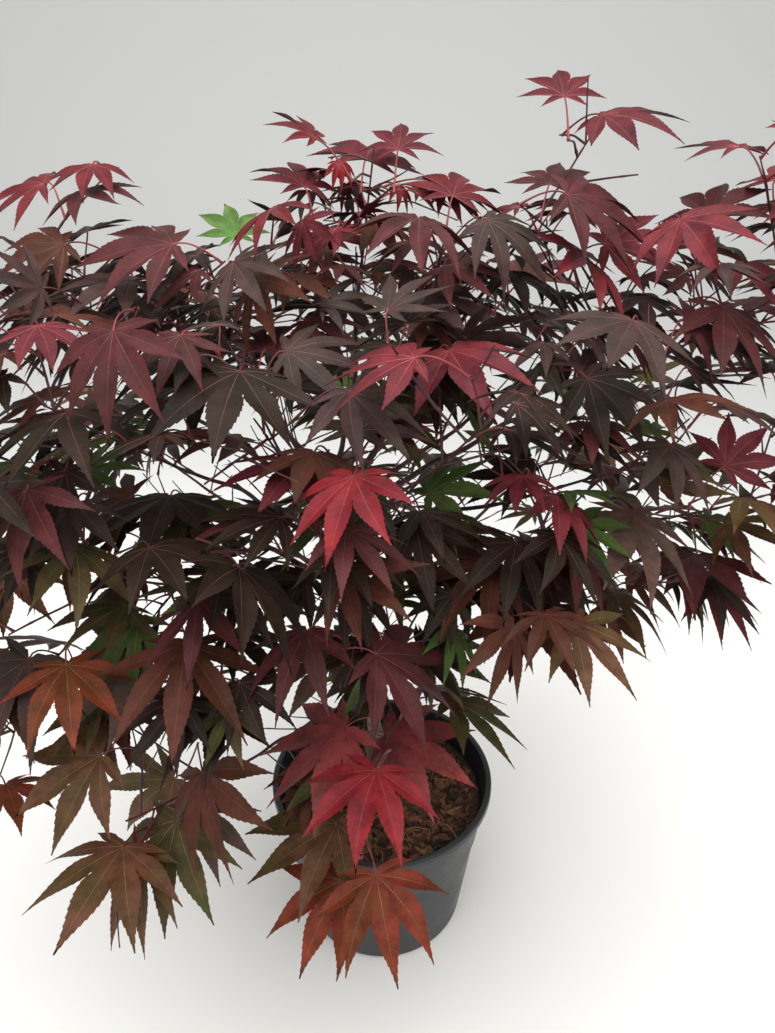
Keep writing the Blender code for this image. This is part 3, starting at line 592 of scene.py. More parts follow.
LEAF_DROOP = (0.16, 0.42)
FEATURE_DROOP = 0.30
LEAF_THICKNESS = 0.0022
LEAF_SPREAD = 0.16

# Each mass of foliage: its bough's place up the trunk, then in millimetres the middle of its space, that
# space's reach and its leaves' length, and last how many side shoots its stem has.
Mass = namedtuple("Mass", "name foot x y z reach leaf shoots")
MASSES = [Mass(name, foot, *(size / 1000 for size in sizes), shoots) for name, foot, *sizes, shoots in (
    ("sprig_middle", 1.000, -5, 30, 728, 100, 38, 1),
    ("sprig_right", 0.945, 130, 20, 745, 100, 42, 1),
    ("crest_left", 0.930, -230, -40, 660, 135, 58, 2),
    ("crest_middle_left", 0.960, -110, -5, 650, 125, 56, 2),
    ("crest_middle_right", 0.975, 30, -20, 650, 125, 56, 2),
    ("crest_right", 0.905, 145, -15, 640, 125, 58, 1),
    ("crest_far_right", 0.875, 255, -15, 660, 140, 60, 1),
    ("crest_back_left", 0.950, -145, 135, 600, 140, 64, 1),
    ("crest_back_right", 0.920, 95, 145, 605, 140, 64, 1),
    ("brow_left", 0.850, -175, -135, 625, 125, 64, 1),
    ("brow_middle", 0.905, -65, -145, 620, 120, 62, 2),
    ("brow_right", 0.835, 50, -150, 620, 120, 62, 2),
    ("brow_far_right", 0.800, 170, -110, 590, 125, 62, 1),
    ("side_left", 0.710, -280, -20, 545, 140, 68, 1),
    ("side_right", 0.660, 290, -50, 535, 140, 68, 1),
    ("waist_left", 0.620, -180, -150, 530, 130, 68, 1),
    ("waist_middle", 0.560, -35, -165, 535, 125, 64, 2),
    ("waist_right", 0.640, 95, -125, 530, 125, 64, 2),
    ("hip_left", 0.500, -115, -165, 445, 120, 68, 1),
    ("hip_middle", 0.400, 15, -130, 448, 120, 66, 1),
    ("back_left", 0.670, -235, 120, 505, 140, 68, 1),
    ("back_middle", 0.640, -30, 215, 515, 140, 68, 2),
    ("back_right", 0.580, 200, 140, 505, 140, 68, 1),
    ("skirt_left", 0.440, -230, -130, 410, 130, 72, 2),
    ("skirt_front_left", 0.300, -155, -175, 345, 140, 72, 2),
    ("skirt_front", 0.220, -15, -140, 310, 140, 68, 0),
    ("skirt_right", 0.380, 200, -10, 420, 140, 66, 2),
    ("skirt_back", 0.340, -20, 150, 395, 140, 72, 2),
)]


# The leaves that stand out: the mass, the heart in millimetres, the way the middle lobe heads, the tilt and
# roll in degrees, the length in millimetres and the tint.
FEATURES = (
    ("waist_middle", -13, -195, 621, -108, 16, 12, 54, "scarlet"),
    ("skirt_front", -2, -202, 400, -108, 4, 0, 68, "scarlet"),
    ("crest_far_right", 193, -45, 727, -84, 4, 24, 60, "rose"),
    ("brow_left", -197, -130, 685, -60, 4, 0, 42, "rose"),
    ("brow_right", 20, -180, 684, 174, 4, -6, 54, "rose"),
    ("brow_right", 44, -102, 660, -78, -2, 12, 70, "rose"),
    ("skirt_front", -3, -205, 295, -78, 16, 6, 72, "ember"),
    ("skirt_front", -30, -185, 262, -120, 16, -12, 72, "ember"),
    ("skirt_left", -200, -190, 482, -72, 10, 0, 60, "ember"),
    ("skirt_left", -273, -175, 356, -54, -14, 0, 48, "ember"),
    ("sprig_middle", -44, 15, 768, 150, -38, 6, 36, "crimson"),
    ("crest_middle_right", 49, -15, 736, 78, -20, 12, 54, "crimson"),
    ("crest_right", 152, -25, 707, 0, -14, 24, 61, "crimson"),
    ("crest_left", -192, 0, 753, -90, 4, 0, 42, "crimson"),
    ("waist_right", 88, -150, 597, -108, -2, 6, 36, "rose"),
    ("waist_right", 112, -142, 578, -60, 16, -24, 48, "rose"),
    ("sprig_middle", 13, 30, 759, 84, -32, 0, 42, "ruby"),
    ("sprig_middle", -10, 45, 750, 84, -14, 12, 60, "ruby"),
    ("sprig_middle", -52, 10, 738, 108, -26, 12, 48, "ruby"),
    ("sprig_right", 123, 20, 793, 90, -32, 0, 42, "ruby"),
    ("sprig_right", 151, 25, 781, -42, -8, 12, 60, "ruby"),
    ("crest_far_right", 242, 10, 763, 108, -8, 0, 48, "ruby"),
    # The next two leaves, low by the pot, have a tint painted much lighter than ruby: painted light, as
    # they lie in the shade of the scarlet leaf in front of them.
    ("skirt_front", -25, -155, 393, -150, 22, 0, 80, "mauve"),
    ("skirt_front", 7, -113, 343, -24, 4, 12, 78, "mauve"),
    ("side_right", 241, -80, 568, 30, -38, 30, 48, "ruby"),
    ("sprig_right", 121, 32, 736, 72, -20, 0, 49, "wine"),
    ("crest_right", 119, -45, 742, 0, 16, 24, 71, "wine"),
    ("crest_far_right", 224, -10, 721, 66, -32, -12, 54, "wine"),
    ("crest_left", -130, -60, 715, -174, -2, -18, 66, "wine"),
    ("brow_left", -142, -166, 694, -96, 40, 12, 60, "wine"),
    ("hip_middle", -2, -190, 491, -12, 22, 6, 72, "wine"),
    ("crest_far_right", 221, -70, 678, -66, 22, -12, 66, "wine"),
    ("side_right", 239, -70, 487, -114, -14, 6, 75, "wine"),
    ("brow_right", 32, -120, 568, 18, -32, 0, 55, "green"),
    ("skirt_front", 55, -110, 378, -12, 16, -18, 72, "olive"),
    ("skirt_front_left", -146, -195, 342, -102, 34, 18, 78, "olive"),
    ("waist_left", -173, -140, 492, -126, -14, 0, 54, "olive"),
    ("skirt_front", -34, -160, 296, -150, 4, -12, 78, "bronze"),
    ("skirt_front_left", -192, -190, 401, -156, 16, -18, 72, "bronze"),
    ("side_right", 202, -70, 548, 42, -32, -6, 67, "bronze"),
    ("skirt_front_left", -177, -220, 345, -108, -8, 0, 74, "rust"),
    ("skirt_right", 173, -70, 438, -24, 28, 0, 48, "rust"),
    ("side_left", -263, -110, 517, -102, 64, -6, 66, "rust"),
    ("crest_left", -206, -40, 710, -156, 4, -24, 48, "maroon"),
    ("waist_middle", -38, -155, 616, -102, -8, -6, 49, "maroon"),
    ("skirt_front_left", -122, -195, 391, -72, 22, 48, 74, "maroon"),
    ("waist_right", 103, -120, 484, -72, -2, 6, 78, "maroon"),
    ("crest_left", -161, -55, 691, -156, -8, 0, 63, "dusk"),
    # The low leaves below that get the lighter copy of dusk are painted light: dusk made lighter against
    # the crown's shade that falls on them.
    ("hip_left", -28, -172, 474, 162, 10, 0, 72, "heather"),
    ("waist_left", -161, -160, 474, -150, 34, -18, 80, "heather"),
    ("brow_far_right", 150, -120, 685, -114, -2, -12, 61, "dusk"),
    ("brow_far_right", 173, -105, 544, -78, 16, -18, 72, "heather"),
    ("waist_left", -184, -160, 583, -84, 4, 0, 48, "dusk"),
    ("brow_middle", -79, -150, 665, -96, 4, -6, 72, "plum"),
    ("brow_far_right", 130, -110, 645, -48, 16, 12, 60, "plum"),
    ("waist_left", -134, -190, 571, -54, -8, 0, 54, "plum"),
    ("waist_left", -139, -115, 564, -90, -14, 0, 74, "plum"),
    ("waist_middle", -81, -200, 564, -48, 22, -36, 72, "plum"),
)
GOLDEN_ANGLE = math.radians(137.5)
LEAF_TRIES = 10
SEED = 11


def trunk_axis(share):
    """The middle of the trunk, from its foot (0), where it stands upright, to its top (1)."""
    height = TRUNK_FOOT + (TRUNK_TOP - TRUNK_FOOT) * share
    bent = max(0.0, share - TRUNK_UPRIGHT) / (1 - TRUNK_UPRIGHT)
    return Vector((TRUNK_LEAN * bent**1.15, TRUNK_BEND * math.sin(2 * math.pi * bent), height))


def trunk_radius(share):
    flare = max(0.0, 1 - share * (TRUNK_TOP - TRUNK_FOOT) / TRUNK_FLARE_HEIGHT) ** 2
    taper = TRUNK_RADIUS + (TRUNK_TOP_RADIUS - TRUNK_RADIUS) * share
    return taper + (TRUNK_FLARE - TRUNK_RADIUS) * flare


def trunk_line():
    shares = [0.0, TRUNK_UPRIGHT, 0.05] + [0.05 + 0.95 * i / TRUNK_RINGS for i in range(1, TRUNK_RINGS + 1)]
    return [trunk_axis(s) for s in shares], [trunk_radius(s) for s in shares]


def bezier(a, b, c, d, t):
    s = 1 - t
    return a * s**3 + b * 3 * s * s * t + c * 3 * s * t * t + d * t**3


def blend(first, last, count):
    return [first + (last - first) * i / (count - 1) for i in range(count)]


def mass_centre(mass):
    return Vector((mass.x, mass.y, mass.z))


def bough_line(mass):
    """A bough's middle line: up and out of the trunk, then over to the inner edge of its foliage."""
    foot = trunk_axis(mass.foot)
    outward = (mass_centre(mass) - foot).normalized()
    tip = mass_centre(mass) - outward * mass.reach * 0.6
    span = (tip - foot).length
    level = Vector((outward.x, outward.y, 0)).normalized()
    leaving = (level + UP * (0.6 + 0.9 * mass.foot)).normalized()
    arriving = (outward - UP * 0.1).normalized()
    start = foot + level * trunk_radius(mass.foot) * 0.4 if mass.foot < 1 else foot - UP * 0.002
    line = [bezier(start, start + leaving * span * 0.35, tip - arriving * span * 0.3, tip, i / BOUGH_RINGS)
            for i in range(BOUGH_RINGS + 1)]
    return line, blend(BOUGH_RADIUS + BOUGH_GAIN * span, BOUGH_TIP_RADIUS, len(line))


Leaf = namedtuple("Leaf", "mass root heart ahead face length droop")
Twig = namedtuple("Twig", "mass line radii")
Piece = namedtuple("Piece", "kind owner centre radius tree")


def rod_shape(line, radii, sides=3):
    """Corners and triangles of a closed tapering rod along a line, its first corner on top."""
    ahead = (line[-1] - line[0]).normalized()
    first = UP - ahead * ahead.z
    first = (first if first.length > 0.2 else ahead.orthogonal()).normalized()
    second = ahead.cross(first)
    corners, faces = [], []
    for place, radius in zip(line, radii):
        for k in range(sides):
            turn = 2 * math.pi * k / sides
            corners.append(place + (first * math.cos(turn) + second * math.sin(turn)) * radius)
    for ring in range(len(line) - 1):
        for k in range(sides):
            a, b = ring * sides + k, ring * sides + (k + 1) % sides
            faces += [(a, b, b + sides), (a, b + sides, a + sides)]
    end = len(corners) - sides
    faces += [(0, k + 1, k) for k in range(1, sides - 1)]
    faces += [(end, end + k, end + k + 1) for k in range(1, sides - 1)]
    return corners, faces


def leaf_shape(leaf):
    """A leaf's plain stand-in while room is sought for it: a lobed blade and a stalk of seven faces."""
    across = leaf.face.cross(leaf.ahead)

    def place(angle, share, drop):
        turn = math.radians(angle)
        way = leaf.ahead * math.cos(turn) + across * math.sin(turn)
        return leaf.heart + (way * share - leaf.face * drop * share) * leaf.length

    outline = []
    for index, (angle, share) in enumerate(LOBES):
        if index:
            outline.append(place((angle + LOBES[index - 1][0]) / 2, NOTCH, leaf.droop * 0.35))
        outline.append(place(angle, share * (1 - 0.3 * leaf.droop**2), leaf.droop))
    half = STALK_RADIUS * 1.4
    back = leaf.heart - leaf.ahead * half * 2
    outline += [back + across * half, back - across * half]
    top = leaf.heart + leaf.face * LEAF_THICKNESS * 0.3
    under = leaf.heart - leaf.face * LEAF_THICKNESS * 0.7
    count = len(outline)
    corners = outline + [top, under]
    faces = [(count, i, (i + 1) % count) for i in range(count)]
    faces += [(count + 1, (i + 1) % count, i) for i in range(count) if i != count - 2]
    socket = (count - 2, count - 1, count + 1)
    middle = sum((corners[i] for i in socket), Vector()) / 3
    along = (leaf.root - middle).normalized()
    for i in socket:
        side = corners[i] - middle
        side -= along * side.dot(along)
        corners.append(leaf.root + side.normalized() * STALK_FOOT_RADIUS)
    foot = (count + 2, count + 3, count + 4)
    for k in range(3):
        a, b = socket[k], socket[(k + 1) % 3]
        c, d = foot[k], foot[(k + 1) % 3]
        faces += [(b, a, c), (b, c, d)]
    faces.append((foot[2], foot[1], foot[0]))
    return corners, faces


def stand_in(kind, owner, corners, faces):
    """A placed piece, as later ones are tested against it. Its owner is the spray that it grows from."""
    low = Vector(min(c[i] for c in corners) for i in range(3))
    high = Vector(max(c[i] for c in corners) for i in range(3))
    tree = BVHTree.FromPolygons(corners, faces)
    return Piece(kind, owner, (low + high) / 2, (high - low).length / 2, tree)


def leaf_pieces(leaf, twig):
    corners, faces = leaf_shape(leaf)
    blade = stand_in("blade", twig, corners, faces[:-7])
    return blade, stand_in("stalk", twig, corners, faces[-7:])


def touches(new, others):
    """Whether a piece runs into another. A stalk may enter its own twig and meet that twig's stalks, and
    a twig the stem that it grows from."""
    for other in others:
        if new.kind == "stalk" and other.owner == new.owner and other.kind in ("stalk", "twig", "spur"):
            continue
        if new.kind == "twig" and other.owner == new.owner:
            continue
        if new.kind == "spur" and other.owner == new.owner and other.kind != "blade":
            continue
        if (other.centre - new.centre).length > other.radius + new.radius:
            continue
        if new.tree.overlap(other.tree):
            return True
    return False


def shoot_line(start, way, length, rise, count):
    """A twig that leaves along way and bends up, or down where rise is negative."""
    return [start + way * length * t + UP * rise * length * t * t
            for t in (i / (count - 1) for i in range(count))]


def point_on(line, share):
    """A point of a line and the line's direction there."""
    spot = share * (len(line) - 1)
    step = min(int(spot), len(line) - 2)
    return line[step].lerp(line[step + 1], spot - step), (line[step + 1] - line[step]).normalized()


def feature_leaf(mass, x, y, z, heading, tilt, roll, length):
    """A feature's leaf, with its root behind its heart and a little above or below it."""
    ahead, tilt = level_way(math.radians(heading)), math.radians(tilt)
    heart = Vector((x / 1000, y / 1000, z / 1000))
    root = heart - ahead * 0.030 + UP * (0.022 * math.sin(tilt) - 0.012)
    face = UP * math.cos(tilt) + ahead * math.sin(tilt)
    ahead = ahead * math.cos(tilt) - UP * math.sin(tilt)
    face = Matrix.Rotation(math.radians(roll), 3, ahead) @ face
    return Leaf(mass, root, heart, ahead, face, length / 1000, FEATURE_DROOP)


def feature_shoot(stem, leaf):
    """A shoot from the part of the stem nearest the feature's root, ending there."""
    start = min((point_on(stem, s / 10)[0] for s in range(1, 10)), key=lambda p: (p - leaf.root).length)
    span = leaf.root - start
    bend = UP * span.length * 0.10
    return [start, start + span * 0.5 + bend, leaf.root + span.normalized() * 0.0025]


def shoots_of(mass, stem, chance):
    """Twigs that leave the stem by turns of the golden angle, spread evenly over the mass's space."""
    way = (stem[-1] - stem[0]).normalized()
    side = way.orthogonal().normalized()
    twist = chance.uniform(0, 2 * math.pi)
    lines = []
    for k in range(mass.shoots):
        share = (k + 0.6) / mass.shoots
        start = point_on(stem, 0.12 + 0.76 * share)[0]
        around = Matrix.Rotation(twist + GOLDEN_ANGLE * k, 3, way) @ side
        spread = math.radians(78 - 30 * share)
        out = (way * math.cos(spread) + around * math.sin(spread)).normalized()
        out.z = out.z * SHOOT_FLATNESS + 0.12
        out.normalize()
        length = mass.reach * chance.uniform(0.50, 0.68)
        lines.append(shoot_line(start, out, length, chance.uniform(-0.05, 0.16), 3))
    return lines


def leaf_at(mass, twig_way, side, root, young, chance, stray=1.0):
    """One try at a leaf: its stalk leaves the twig on one side, and its blade tips outward and down."""
    outward = Vector((root.x - TRUNK_LEAN * 0.5, root.y, 0)) * 3 + (root - mass_centre(mass)) * 0.6
    outward.z = 0
    outward.normalize()
    low = min(1.0, max(0.0, (0.66 - root.z) / 0.34))
    stalk = (side * 0.75 + twig_way * 0.45 + UP * 0.45 + outward * (0.25 + 0.5 * low)).normalized()
    heart = root + stalk * chance.uniform(*STALK_LENGTH) * (0.75 if young else 1.0)
    tilt = math.radians(chance.gauss(8 + 18 * low, 13 * stray))
    face = (UP * math.cos(tilt) + outward * math.sin(tilt)).normalized()
    level = Vector((stalk.x, stalk.y, 0)).normalized()
    ahead = (level * 0.8 + outward * (0.9 + 0.7 * low)).normalized()
    ahead += level * max(0.0, 0.5 - ahead.dot(level)) * 1.5 - UP * 0.2 * low
    ahead = Matrix.Rotation(chance.gauss(0, 0.35 * stray), 3, "Z") @ ahead
    ahead = (ahead - face * ahead.dot(face)).normalized()
    roll = Matrix.Rotation(chance.gauss(0, 0.18 * stray), 3, ahead)
    size = mass.leaf * (1 + chance.uniform(-LEAF_SPREAD, LEAF_SPREAD)) * (0.86 if young else 1.0)
    return Leaf(mass.name, root, heart, ahead, (roll @ face).normalized(), size,
                chance.uniform(*LEAF_DROOP))


def leaf_pair(mass, twig, turn, line, share, standing, chance, homes=None, stray=1.0):
    """Up to two leaves, opposite each other, at a node of a twig."""
    root, way = point_on(line, share)
    side = way.cross(UP).normalized()
    if turn % 2:
        side = (side * 0.75 + UP * 0.5).normalized()
    found = []
    for hand in (side, -side):
        for _ in range(LEAF_TRIES):
            leaf = leaf_at(mass, way, hand, root, share > 0.9, chance, stray)
            if placed(leaf, homes or [mass], twig, standing):
                found.append(leaf)
                break
    return found


def within(corner, masses):
    return any((corner - mass_centre(mass)).length <= mass.reach for mass in masses)


def placed(leaf, masses, twig, standing):
    """Adds a leaf to what stands if its stalk comes from behind it, and it keeps to the masses' space and
    touches nothing."""
    back = (leaf.root - leaf.heart).normalized()
    if back.dot(leaf.ahead) > -0.35 or back.dot(leaf.face) > 0.55:
        return False
    corners = leaf_shape(leaf)[0][:-3]
    if not all(within(corner, masses) for corner in corners):
        return False
    both = leaf_pieces(leaf, twig)
    if any(touches(half, standing) for half in both):
        return False
    standing.extend(both)
    return True


rim = [Vector((0, 0, 0)), Vector((0, 0, POT_HEIGHT + GAP))]
standing = [stand_in("pot", "pot", *rod_shape(rim, [POT_BASE_RADIUS, POT_LIP_RADIUS + 2 * GAP], 24)),
            stand_in("limb", "trunk", *rod_shape(*trunk_line(), 8))]
for mass in MASSES:
    line, radii = bough_line(mass)
    standing.append(stand_in("limb", "bough_" + mass.name,
                             *rod_shape(line[1:], [r * 1.15 for r in radii[1:]], 6)))
twigs, stems, nodes, leaves, tints = [], {}, {}, [], {}
chances = {mass.name: random.Random(f"{SEED}{mass.name}") for mass in MASSES}
TWIG_RADII = blend(TWIG_RADIUS, TWIG_TIP_RADIUS, 3)


def add_twig(mass, line, radii, kind="twig", owner=None):
    """Adds a twig to what stands, if it touches nothing but what it grows from."""
    new = stand_in(kind, owner or mass, *rod_shape(line, radii))
    if touches(new, standing):
        return False
    standing.append(new)
    twigs.append(Twig(mass, line, radii))
    return True


for mass in MASSES:
    line = bough_line(mass)[0]
    way = (line[-1] - line[-2]).normalized()
    stem = shoot_line(line[-1] + way * GAP, way, mass.reach * 0.85, 0.08, 4)
    stems[mass.name] = stem
    nodes[mass.name] = [(stem, END_NODE), (stem, MIDDLE_NODE)]
    add_twig(mass.name, stem, blend(BOUGH_TIP_RADIUS, STEM_TIP_RADIUS, len(stem)))
for name, *place, tint in FEATURES:
    mass = next(m for m in MASSES if m.name == name)
    leaf = feature_leaf(name, *place)
    line = feature_shoot(stems[name], leaf)
    if add_twig(name, line, TWIG_RADII):
        nodes[name].append((line, MIDDLE_NODE))
        if placed(leaf, [mass], name, standing):
            tints[len(leaves)] = tint
            leaves.append(leaf)
for mass in MASSES:
    for line in shoots_of(mass, stems[mass.name], chances[mass.name]):
        if add_twig(mass.name, line, TWIG_RADII):
            nodes[mass.name] += [(line, END_NODE), (line, MIDDLE_NODE)]
for turn in range(max(map(len, nodes.values()))):
    for mass in MASSES:
        if turn < len(nodes[mass.name]):
            leaves += leaf_pair(mass, mass.name, turn, *nodes[mass.name][turn], standing,
                                chances[mass.name])

# The same rule goes on to finer twigs: spurs off the twigs, short spurs along the boughs inside the crown,
# and leaf pairs at the nodes between, all within the reach that the solids have.

SPURS = {
    "crest_middle_left": 12, "crest_middle_right": 12, "crest_left": 9, "brow_middle": 10, "brow_right": 8,
    "waist_left": 8, "waist_middle": 10, "waist_right": 9, "hip_left": 9, "hip_middle": 10, "side_left": 8,
}
BOUGH_SPURS = (0.3, 0.45, 0.6, 0.75, 0.9)
TOP_SPURS = (0.66, 0.72, 0.78, 0.84, 0.90, 0.96)
SPUR_RADII = blend(0.0009, 0.0007, 3)
FILL = {
    "sprig_middle": 0.6, "sprig_right": 0.0, "side_left": 0.5, "side_right": 0.6, "back_left": 0.85,
    "back_middle": 0.85, "back_right": 0.85, "skirt_left": 0.5, "skirt_front_left": 0.5, "skirt_right": 0.5,
    "skirt_back": 0.85,
}
FILL_ROUNDS = ((0.74, 1.0), (0.34, 0.92), (0.95, 0.8), (0.54, 0.8), (0.2, 0.75))
FILL_STRAY = 1.9
SHAFT_START = 0.012
SHAFT_END = 0.30


def spur_line(line, share, length, chance):
    """A spur that leaves a limb sideways and a little upward."""
    start, way = point_on(line, share)
    swing = math.radians(chance.choice((-1, 1)) * chance.uniform(35, 80))
    out = Matrix.Rotation(swing, 3, "Z") @ way
    out.z = out.z * SHOOT_FLATNESS + chance.uniform(0.0, 0.3)
    return shoot_line(start, out.normalized(), length, chance.uniform(-0.05, 0.15), 3)


def shaft(leaf):
    """The open way to the front of a tinted leaf, which has come through to the outside of the crown."""
    middle = leaf.heart + leaf.ahead * leaf.length * 0.3
    way = (VIEWER - middle).normalized()
    line = [middle + way * SHAFT_START, middle + way * SHAFT_END]
    return stand_in("shaft", "light", *rod_shape(line, [leaf.length * 0.36, leaf.length * 0.30], 6))


# Where the crown stays open, as spots and radii: over the mix, beside the pot, and between the top shoots.
OPENINGS = ((0.047, -0.039, 0.165, 0.022), (0.022, -0.062, 0.165, 0.018), (0.036, -0.100, 0.096, 0.024),
            (0.188, 0.020, 0.750, 0.042), (0.080, 0.020, 0.762, 0.040), (-0.112, 0.020, 0.756, 0.040),
            (0.098, 0.020, 0.770, 0.026), (-0.196, -0.190, 0.336, 0.022))


def opening(x, y, z, radius):
    """A clear way through the crown along the line of sight, in front of a spot and behind it."""
    spot = Vector((x, y, z))
    way = (VIEWER - spot).normalized()
    back = 0.3 if z > 0.6 else -0.01
    return stand_in("shaft", "light", *rod_shape([spot - way * back, spot + way * 0.45], [radius] * 2, 6))


VIEWER = Vector(viewer.location)
shafts = [opening(*spot) for spot in OPENINGS]
DULL = ("bronze", "olive", "maroon", "rust", "dusk", "heather")
shafts += [shaft(leaves[i]) for i in tints if tints[i] not in DULL]
shown = len(tints)
leaves = leaves[:shown] + [leaf for leaf in leaves[shown:] if not any(
    leaf_pieces(leaf, "")[0].tree.overlap(open_way.tree) for open_way in shafts)]


# Leaves that close the crown between the crests, and small ones still unfolding at the tips of the top
# shoots. Their stalks are shorter, and where such a leaf finds no room, its spur stays bare.
LATE_STALK = 0.55
LATE_LEAVES = (
    ("crest_middle_left", -98, -10, 709, 110, -40, 0, 36, "fresh"),
    ("crest_middle_left", -53, -40, 695, -95, 8, 0, 56, "wine"),
    ("sprig_middle", -36, 20, 700, 75, -20, 0, 46, "ruby"),
    ("crest_middle_right", 0, 10, 686, -20, -4, 0, 50, "maroon"),
    ("crest_middle_left", -27, 0, 662, -60, 10, 0, 50, "plum"),
    ("crest_middle_left", -38, -30, 646, -110, 8, 0, 52, "dusk"),
    ("crest_middle_right", 6, -10, 665, -100, 14, 0, 46, "olive"),
    ("crest_middle_left", -68, -30, 660, -150, 4, 0, 52, "plum"),
    ("crest_middle_right", -11, -20, 646, -75, 12, 0, 50, "plum"),
    ("crest_middle_left", -89, 0, 676, 100, -14, 0, 50, "maroon"),
    ("crest_left", -122, -20, 668, -100, 6, 0, 52, "plum"),
    ("crest_left", -216, -40, 674, 150, -6, 0, 54, "dusk"),
    ("sprig_middle", -25, 30, 718, -30, -12, 0, 44, "wine"),
    ("sprig_middle", -6, 20, 710, -60, 6, 0, 44, "maroon"),
    ("sprig_right", 152, 10, 797, -30, 62, 20, 22, "scarlet"),
    ("sprig_middle", 12, 20, 736, -40, 30, 0, 20, "scarlet"),
    ("sprig_middle", -28, 16, 752, -70, 40, 0, 20, "scarlet"),
    ("sprig_middle", 52, -10, 714, -90, 48, 10, 36, "ember"),
    ("crest_right", 214, -20, 700, -50, 30, 0, 24, "crimson"),
)
for name, *place, tint in LATE_LEAVES:
    leaf = feature_leaf(name, *place)
    leaf = leaf._replace(root=leaf.heart.lerp(leaf.root, LATE_STALK))
    if add_twig(name, feature_shoot(stems[name], leaf), SPUR_RADII, "spur"):
        if placed(leaf, MASSES, name, standing):
            tints[len(leaves)] = tint
            leaves.append(leaf)
standing += shafts
fine_nodes = {mass.name: [] for mass in MASSES}


def bough_spur(limb, mass, share, chance):
    """A short spur on one mass's bough, with leaves of another's size where that mass lies round it."""
    line = spur_line(bough_line(limb)[0], share, chance.uniform(0.03, 0.06), chance)
    if within(line[-1], MASSES) and add_twig(mass.name, line, SPUR_RADII, "spur", "bough_" + limb.name):
        fine_nodes[mass.name] += [(line, END_NODE), (line, MIDDLE_NODE)]


for mass in MASSES:
    if not FILL.get(mass.name, 1.0):
        continue
    chance = random.Random(f"spurs{mass.name}")
    grown = [twig.line for twig in twigs if twig.mass == mass.name]
    for _ in range(SPURS.get(mass.name, 6)):
        line = spur_line(chance.choice(grown), chance.uniform(0.3, 0.85),
                         mass.reach * chance.uniform(0.26, 0.44), chance)
        if add_twig(mass.name, line, SPUR_RADII, "spur"):
            fine_nodes[mass.name] += [(line, END_NODE), (line, MIDDLE_NODE)]
    for share in BOUGH_SPURS:
        bough_spur(mass, mass, share, chance)
chance = random.Random("top spurs")
for index, share in enumerate(TOP_SPURS):
    sprig, crests = MASSES[0], MASSES[3:5]
    bough_spur(sprig, crests[index % 2], share, chance)
for share, size in FILL_ROUNDS:
    for mass in MASSES:
        chance = random.Random(f"leaves{mass.name}{share}")
        smaller = mass._replace(leaf=mass.leaf * size)
        spots = [(line, share) for line, _ in nodes[mass.name]]
        if share in (END_NODE, MIDDLE_NODE):
            spots = fine_nodes[mass.name]
        for turn, (line, at) in enumerate(spots):
            if chance.random() < FILL.get(mass.name, 1.0):
                leaves += leaf_pair(smaller, mass.name, turn, line, at, standing, chance, MASSES,
                                    FILL_STRAY)

# ----------------------------------------------------------------------------------- trunk and boughs
# The trunk has smooth greyish young bark with fine lengthwise cracks and pale pores. The boughs are darker,
# ringed at their nodes, and sway a little between them. They are one living piece of wood.


BOUGH_POINTS = 14
BOUGH_SWAY = 0.006
BOUGH_SLIMMING = (1.0, 0.6)
noise.seed_set(SEED)


def lively(line, sway, count):
    """A line with more points, which stray a little between its ends, the same way each run."""
    points = []
    for i in range(count):
        share = i / (count - 1)
        place = point_on(line, share)[0]
        stray = noise.noise_vector(place * 23) * sway * math.sin(math.pi * share)
        points.append(place + stray)
    return points


def slimmed(radii, count, start, end):
    """Radii for the points of a line that has been given more of them, times start to end along it."""
    spread = np.interp(np.linspace(0, 1, count), np.linspace(0, 1, len(radii)), radii)
    return [float(r) for r in spread * np.linspace(start, end, count)]


bark = grained("trunk_bark", (96, 82, 70), 0.72, (520.0, 120.0, 0.0006, 0.55),
               (0.32, (62, 50, 44)), (0.50, (96, 80, 68)), (0.68, (132, 116, 98)))
pores = ramp(bark.tree, bark.masks["Fine"], (0.30, (0.55, 0.5, 0.48)), (0.44, (1.0, 1.0, 1.0)))
bark.tree.links.new(multiplied(bark.tree, bark.shades, pores, 0.8), bark.shader.inputs["Base Color"])
line, radii = trunk_line()
trunk_guide = (line + [line[-1] + UP * 0.004], radii + [0.0022])
trunk_bark = rods("trunk_bark", [trunk_guide], sides=28, ring_spacing=0.0022, relief=0.34, relief_turns=3.2,
                  relief_pitch=70.0, node_spacing=0.058, node_swell=0.10, finish=bark.finish)
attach(trunk_bark, "root")
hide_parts("trunk")

ringed = grained("bough_bark", (64, 46, 42), 0.62, (700.0, 70.0, 0.0004, 0.5),
                 (0.32, (44, 28, 27)), (0.50, (70, 42, 38)), (0.70, (98, 62, 52)))
bough_guides = []
for mass in MASSES:
    line, radii = bough_line(mass)
    bough_guides.append((lively(line, BOUGH_SWAY, BOUGH_POINTS),
                         slimmed(radii, BOUGH_POINTS, *BOUGH_SLIMMING)))
boughs = rods("boughs", bough_guides, sides=12, ring_spacing=0.0032, relief=0.30, relief_turns=1.6,
              relief_pitch=90.0, node_spacing=0.042, node_swell=0.22, finish=ringed.finish)
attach(boughs, "root")
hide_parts(*["bough_" + mass.name for mass in MASSES])

# ---------------------------------------------------------------------------------------------- twigs
# This year's twigs: thin, smooth, dark purple below and redder on the young tips, with a ring at each pair
# of leaves.

